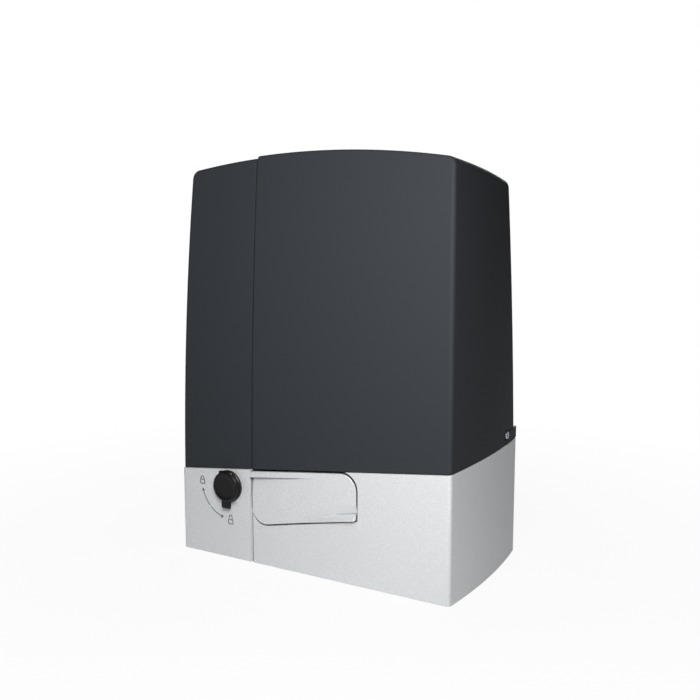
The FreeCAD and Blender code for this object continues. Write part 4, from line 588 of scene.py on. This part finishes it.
# dark blue-black shrunk film, slightly glossy
sleeve = surface("capacitor_sleeve", "#1d2430", 0.35, mottle=0.04, grain=1.0, relief=0.006)
can_spots = on_board((17, 93), (29, 93), (17, 107), (41, 93))
CAN_RADIUS, CAN_HIGH, CAN_TOP_RADIUS = 5, 11.1, 4.1
moulding("board_capacitors", disc(CAN_RADIUS, 28),
         [(0, 0), (0, 1.4), (0.5, 1.9), (0, 2.4), (0, CAN_HIGH - 0.5), (0.5, CAN_HIGH), (0.9, CAN_HIGH)],
         can_spots, "-y", sleeve, "base")
# bare pressed aluminium; the vent's cross stamped into it is drawn as a thin dark plate, painted shade
can_top = surface("can_aluminium", "#c9cccf", 0.3, metal=1.0, mottle=0.05, grain=0.8, relief=0.004)
moulding("board_capacitor_tops", disc(CAN_TOP_RADIUS, 28), [(0, 10.9), (0, 11.16), (0.3, 11.2)], can_spots,
         "-y", can_top, "base")
moulding("board_capacitor_vents", CROSS * 1.3, [(0, 11.15), (0, 11.24)], can_spots, "-y", recess, "base")

# dull black transfer-moulded resin
epoxy = surface("chip_epoxy", "#19191b", 0.5, mottle=0.05, grain=0.5, relief=0.01)
CHIPS = [((67, 95), (12, 12)), ((90, 91), (8, 18)), ((53, 117), (18, 8)), ((85, 119), (8, 8))]
LEG_PITCH, LEG_OUT = 1.27, 0.8
for number, (spot, (wide, tall)) in enumerate(CHIPS):
    (x, y, z), = on_board(spot)
    moulding(f"board_chip_{number}", tile(wide, tall, 0.3, 3), [(0, 0.3), (0, 1.9), (0.3, 2.1)], [(x, y, z)],
             "-y", epoxy, "base")
    leg_steps = np.arange(-tall / 2 + 1, tall / 2 - 0.5, LEG_PITCH)
    legs = [(x + side * (wide / 2 + LEG_OUT), y, z + step) for side in (-1, 1) for step in leg_steps]
    moulding(f"board_chip_legs_{number}", tile(2.0, 0.5, 0.1, 2), [(0, 0), (0, 0.5), (0.2, 0.7)], legs, "-y",
             tinned, "base")

# ivory plastic, smooth from handling
white_button = surface("key_plastic", "#d8d6cf", 0.4, mottle=0.03, grain=0.7, relief=0.006)
key_spots = on_board((99, 73), (99, 63), (99, 53))
moulding("board_keys", tile(6, 6, 0.5, 3), domed(3.4, 0.3), key_spots, "-y", epoxy, "base")
moulding("board_key_caps", disc(1.7, 20), domed(5.2, 0.4), key_spots, "-y", white_button, "base")

# dark red filter, polished, so it mirrors the lamps
lens_red = surface("display_lens", "#4a1013", 0.12, mottle=0.02, grain=2.0, relief=0.001)
display_spot = on_board((89, 137))
moulding("board_display", tile(20, 13, 0.4, 3), domed(6, 0.3), display_spot, "-y", epoxy, "base")
moulding("board_display_window", tile(17.5, 10.5, 0.3, 3), [(0, 5.9), (0, 6.15), (0.2, 6.25)], display_spot,
         "-y", lens_red, "base")

trimmer_spots = on_board((11, 73), (21, 73), (31, 73))
moulding("board_trimmers", tile(6.6, 6.6, 0.4, 3), domed(4, 0.3), trimmer_spots, "-y", relay_blue, "base")
moulding("board_trimmer_screws", disc(1.5, 20), domed(4.5, 0.2), trimmer_spots, "-y", tinned, "base")

# clear red resin domes, unlit
lamp_lens = surface("lamp_lens", "#b52a1e", 0.15, mottle=0.03, grain=1.0, relief=0.001)
moulding("board_lamps", disc(1.5, 20), [(0, 0), (0, 2.4), (0.2, 3.2), (0.6, 3.8), (1.1, 4.1)],
         on_board((55, 35), (65, 35), (75, 35), (85, 35)), "-y", lamp_lens, "base")

# satin blue-black, as dyed anodic film is
black_anodised = surface("black_anodised_aluminium", "#202226", 0.38, metal=0.7, mottle=0.05, grain=0.8,
                         relief=0.006)
SINK_ACROSS, SINK_UP, SINK_WIDE, SINK_TALL, FIN_COUNT, FIN_PITCH = 27, 135, 34, 24, 9, 4
fin_steps = FIN_PITCH * (np.arange(FIN_COUNT) - (FIN_COUNT - 1) / 2)
moulding("board_heatsink_back", tile(SINK_WIDE, SINK_TALL, 0.5, 3), [(0, 0.4), (0, 2.4)],
         on_board((SINK_ACROSS, SINK_UP)), "-y", black_anodised, "base")
moulding("board_heatsink_fins", tile(1.2, SINK_TALL, 0.3, 3), [(0, 2.2), (0, 7.6), (0.3, 8)],
         on_board(*[(SINK_ACROSS + step, SINK_UP) for step in fin_steps]), "-y", black_anodised, "base")

# dull black nylon, a shade lighter than the housings
socket_black = surface("socket_nylon", "#232325", 0.5, mottle=0.04, grain=0.5, relief=0.008)
moulding("board_sockets", tile(30, 5, 0.4, 3), domed(7, 0.3), on_board((75, 107), (31, 79.5)), "-y",
         socket_black, "base")

# ---------------------------------------------------------------- release lever
# Die-cast lever that fills the opening under the joint line, painted with the base. Its upper edge
# stands up in a lip to the left end and its lower edge in another to the right end, with the face
# dished beside them, and a knuckle behind turns on the hinge pin.

lever_low, lever_high = corners("release_lever")
LEVER_LEFT, LEVER_RIGHT = lever_low[0], lever_high[0]
LEVER_ROUND, ROUND_FLAT, LEVER_SLOPE, JOINT_SLOPE, TOP_CLEAR = 14.0, 0.9, 0.212, 0.1166, 0.3
LEVER_FACE, LEVER_BACK, LEVER_SHEET, EDGE_ROUND = -74.6, -73.3, 1.2, 0.6
LIP_HIGH, LIP_WIDE, LIP_END, WALL_SOFT = 4.15, 4.8, 7, 0.09
SCORE_DEEP, SCORE_OUT, SCORE_WIDE = 1.5, 0.4, 0.35

# grid lines crowd at the rounded edges and at the lips' feet, in a band along each side, and spread
# out between the bands
near_edge = np.array([0, 0.07, 0.2, 0.4, 0.7, 1.2, 2, 3, 4.2, 4.6, 4.75, 4.85, 5, 5.15, 5.3, 5.5, 5.75, 6.2,
                      7, 8.2, 9.8])
BAND = near_edge[-1]
between_across, between_up = np.linspace(11.5, 92, 42), np.linspace(0, 1, 12)[1:-1]
across = np.concatenate([near_edge, between_across, (LEVER_RIGHT - LEVER_LEFT) - near_edge[::-1]])
x = (LEVER_LEFT + across)[:, None]
near_x, far_x = LEVER_LEFT + LEVER_ROUND, LEVER_RIGHT - LEVER_ROUND
bottom = lever_low[2] + LEVER_SLOPE * np.maximum(x - near_x, 0)
left_round = 1 - np.sqrt(1 - np.clip((near_x - x) / LEVER_ROUND, 0, 1) ** 2)
bottom = bottom + LEVER_ROUND * ROUND_FLAT * left_round
top = lever_high[2] - TOP_CLEAR + JOINT_SLOPE * (np.minimum(x, far_x) - far_x)
right_round = 1 - np.sqrt(1 - np.clip((x - far_x) / LEVER_ROUND, 0, 1) ** 2)
top = top - LEVER_ROUND * right_round
rise = np.concatenate([bottom + near_edge, (bottom + BAND) + (top - bottom - 2 * BAND) * between_up,
                       top - near_edge[::-1]], axis=1)
from_bottom, from_top = rise - bottom, top - rise


def lip_and_dish(depth, strength, at_edge, at_crease, dish, dish_wide):
    """Height of a lip beside an edge, at a depth in from it: a flank that runs straight between two
    shares of its full height, a steep wall with a narrow bell-shaped score at its foot, and a dish
    that fades out by half a cosine, all scaled by the lip's strength there."""
    wall = 1 / (1 + np.exp((depth - LIP_WIDE) / WALL_SOFT))
    beyond = np.clip((depth - LIP_WIDE) / dish_wide, 0, 1)
    flank = at_edge + (at_crease - at_edge) * np.clip(depth / LIP_WIDE, 0, 1)
    score = SCORE_DEEP * np.exp(-((depth - LIP_WIDE - SCORE_OUT) / SCORE_WIDE) ** 2)
    hollow = dish * (1 - wall) * (0.5 + 0.5 * np.cos(np.pi * beyond))
    return strength * (LIP_HIGH * flank * wall - score - hollow)


# the upper lip dies out just right of the middle, the lower one just left of it
upper_strength = np.clip((LIP_END - x) / (LIP_END - LEVER_LEFT), 0, 1)
lower_strength = np.clip((x + LIP_END) / (LEVER_RIGHT + LIP_END), 0, 1)
to_edge = np.minimum(np.minimum(from_bottom, from_top), np.minimum(x - LEVER_LEFT, LEVER_RIGHT - x))
fall = EDGE_ROUND - np.sqrt(EDGE_ROUND ** 2 - np.clip(EDGE_ROUND - to_edge, 0, EDGE_ROUND) ** 2)
upper_lip = lip_and_dish(from_top, upper_strength, at_edge=0.5, at_crease=1.0, dish=1.3, dish_wide=13)
lower_lip = lip_and_dish(from_bottom, lower_strength, at_edge=1.0, at_crease=0.12, dish=2.2, dish_wide=9)
face = LEVER_FACE - upper_lip - lower_lip
front = np.stack([np.broadcast_to(x, rise.shape), face + fall, rise], axis=2)
back = front.copy()
back[:, :, 1] = np.maximum(LEVER_BACK, face + LEVER_SHEET)
rows, columns = rise.shape
rim = np.concatenate([np.arange(columns), np.arange(1, rows) * columns + columns - 1,
                      (rows - 1) * columns + np.arange(columns - 2, -1, -1),
                      np.arange(rows - 2, 0, -1) * columns])
count = rows * columns
sides = np.stack([rim, rim + count, np.roll(rim, -1) + count, np.roll(rim, -1)], 1).tolist()
back_faces = [quad[::-1] for quad in grid_faces(rows, columns, start=count)]
lever = build("lever_handle", np.concatenate([front.reshape(-1, 3), back.reshape(-1, 3)]),
              grid_faces(rows, columns) + back_faces + sides, silver_paint, "release_lever",
              smooth=50)

# the knuckle's web and the two ribs reach forward to the lever's back
pin_low, pin_high = corners("hinge_pin")
hinge_x, hinge_y, _ = (pin_low + pin_high) / 2
KNUCKLE_RADIUS, KNUCKLE_WEB, KNUCKLE_FOOT, KNUCKLE_HIGH, BEVEL = 4, 5.4, 44, 35, 0.4
half_turn = np.linspace(0, np.pi, 15)
web = np.array([[-KNUCKLE_RADIUS, -KNUCKLE_WEB], [KNUCKLE_RADIUS, -KNUCKLE_WEB]])
knuckle = np.concatenate([web, KNUCKLE_RADIUS * np.stack([np.cos(half_turn), np.sin(half_turn)], 1)])
moulding("lever_knuckle", knuckle, [(BEVEL, 0), (0, BEVEL), (0, KNUCKLE_HIGH - BEVEL), (BEVEL, KNUCKLE_HIGH)],
         [(hinge_x, hinge_y, KNUCKLE_FOOT)], "+z", silver_paint, "release_lever")
RIB_LONG, RIB_TIP, RIB_ROOT, RIB_THICK, RIB_BEVEL, RIB_IN, RIB_FEET = 58, -2.6, 0.8, 2, 0.2, 3, (54.5, 69)
rib = np.array([[0, -KNUCKLE_WEB], [RIB_LONG, -KNUCKLE_WEB], [RIB_LONG, RIB_TIP], [0, RIB_ROOT]])
moulding("lever_ribs", rib,
         [(RIB_BEVEL, 0), (0, RIB_BEVEL), (0, RIB_THICK - RIB_BEVEL), (RIB_BEVEL, RIB_THICK)],
         [(hinge_x + RIB_IN, hinge_y, foot) for foot in RIB_FEET], "+z", silver_paint, "release_lever")
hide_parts("release_lever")

# ---------------------------------------------------------------- key lock
# Cam lock in a glass-filled nylon bezel. A moulded dust cap swings up over the keyhole on a steel
# pin, and thin signs beside it show which way the key turns.

coat(black_nylon, "lock_housing")
# the key plug and the cap's pin are nickel over brass: warm, bright and nearly clean
nickel = surface("nickel_plate", "#bdbab2", 0.25, metal=1.0, mottle=0.03, grain=0.6, relief=0.003)
coat(nickel, "lock_cylinder", "lock_cap_pin")
plug_low, plug_high = corners("lock_cylinder")
lock_x, _, lock_z = (plug_low + plug_high) / 2

CAP_BACK = corners("lock_cap")[1][1]
CAP_RADIUS, CAP_HIGH, CAP_DISH = 13.25, 3.15, 2.7
dust_cap = moulding("dust_cap", disc(CAP_RADIUS, 64),
                    [(0.3, 0), (0, 0.3), (0, 1.9), (0.15, 2.3), (0.5, 2.75), (1.1, 3.0), (1.8, CAP_HIGH),
                     (2.6, 3.0), (3.0, 2.8), (6, 2.72), (12.5, CAP_DISH)],
                    [(lock_x, CAP_BACK, lock_z)], "-y", black_nylon, "lock_cap")
TAB_DROP, NUB_ASIDE, NUB_DROP = 1.2, 3.1, 5.1
moulding("dust_cap_tab", tile(8.6, 9, 1.6), domed(2.7, 0.7),
         [(lock_x, CAP_BACK, lock_z - CAP_RADIUS - TAB_DROP)], "-y", black_nylon, "lock_cap")
moulding("dust_cap_nub", tile(2.2, 1.6, 0.5), domed(2.0, 0.4),
         [(lock_x + NUB_ASIDE, CAP_BACK, lock_z - CAP_RADIUS - NUB_DROP)], "-y", black_nylon, "lock_cap")
EYE_RADIUS, EYE_LONG, EYE_BEVEL, EYE_OUT, EYE_UP = 1.55, 7.3, 0.2, 1.6, 12.3
moulding("dust_cap_knuckle", disc(EYE_RADIUS, 24),
         [(EYE_BEVEL, 0), (0, EYE_BEVEL), (0, EYE_LONG - EYE_BEVEL), (EYE_BEVEL, EYE_LONG)],
         [(lock_x - EYE_LONG / 2, CAP_BACK - EYE_OUT, lock_z + EYE_UP)], "+x", black_nylon, "lock_cap")
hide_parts("lock_cap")

# painted shade: the signs are engraved in the casting, and the shade in their lines is drawn as dark grey
# beads a little proud of the paint
sign_shade = surface("sign_painted_shade", "#45494c", 0.5, mottle=0.05, grain=0.8, relief=0.01)
FRONT = corners("base_housing")[0][1]


def arc(x, z, radius, first, last, steps=14):
    """Points of an arc on the base's front face, angles in degrees from the right."""
    angle = np.radians(np.linspace(first, last, steps))
    return np.stack([x + radius * np.cos(angle), np.full(steps, FRONT), z + radius * np.sin(angle)], 1)


def stroke(*ends):
    """Straight strokes between points on the base's front face."""
    return np.array([(x, FRONT, z) for x, z in ends])


# a closed padlock at the arrow's upper end, and one with its shackle lifted at the lower end, each
# placed across and up from the lock's centre
PADLOCKS = ((-29.6, 1.3, 0.0), (1.2, -30.7, 1.3))
CASE_WIDE, CASE_TALL, CASE_ROUND, CASE_DROP, SHACKLE_RADIUS, SHACKLE_FOOT = 4.8, 3.8, 0.6, 1.6, 1.6, 0.3
padlocks = []
for across, up, lift in PADLOCKS:
    sign_x, sign_z = lock_x + across, lock_z + up
    case = tile(CASE_WIDE, CASE_TALL, CASE_ROUND) + [sign_x, sign_z - CASE_DROP]
    shackle = [stroke((sign_x - SHACKLE_RADIUS, sign_z + SHACKLE_FOOT + lift)),
               arc(sign_x, sign_z + SHACKLE_RADIUS + lift, SHACKLE_RADIUS, 180, 0),
               stroke((sign_x + SHACKLE_RADIUS, sign_z + SHACKLE_FOOT))]
    padlocks += [stroke(*case, case[0]), np.concatenate(shackle)]

# a double-headed arrow round the lock, broken at its middle: its two stretches of shaft and its two
# tips by their angles round the lock
ARROW_RADIUS, ARROW_SHAFTS, ARROW_TIPS = 30.0, ((193, 223.5), (226, 256)), ((192.6, 1), (256.5, -1))
HEAD_LONG, HEAD_SPREAD, SIGN_LINE = 2.6, 30, 0.34
heads = []
for turn, sense in ARROW_TIPS:
    tip = arc(lock_x, lock_z, ARROW_RADIUS, turn, turn, 1)[0]
    for swing in (180 - HEAD_SPREAD, 180 + HEAD_SPREAD):
        heading = math.radians(turn - 90 * sense + swing)
        heads.append(np.stack([tip, tip + HEAD_LONG * np.array([math.cos(heading), 0, math.sin(heading)])]))
shafts = [arc(lock_x, lock_z, ARROW_RADIUS, first, last) for first, last in ARROW_SHAFTS]
tube("lock_signs", padlocks + heads + shafts, SIGN_LINE, sign_shade, "base", sides=6)

# ---------------------------------------------------------------- cover
# Injection-moulded cover, the last piece on: it drops over the machine onto the base's edge, and a
# screw through each side holds it.

# anthracite ABS with the fine, dull grain of a spark-eroded tool, lighter where corners catch light
anthracite = surface("anthracite_abs", "#303337", 0.62, mottle=0.03, grain=0.5, relief=0.012, shine=0.12,
                     edge=0.8)
coat(anthracite, "cover")
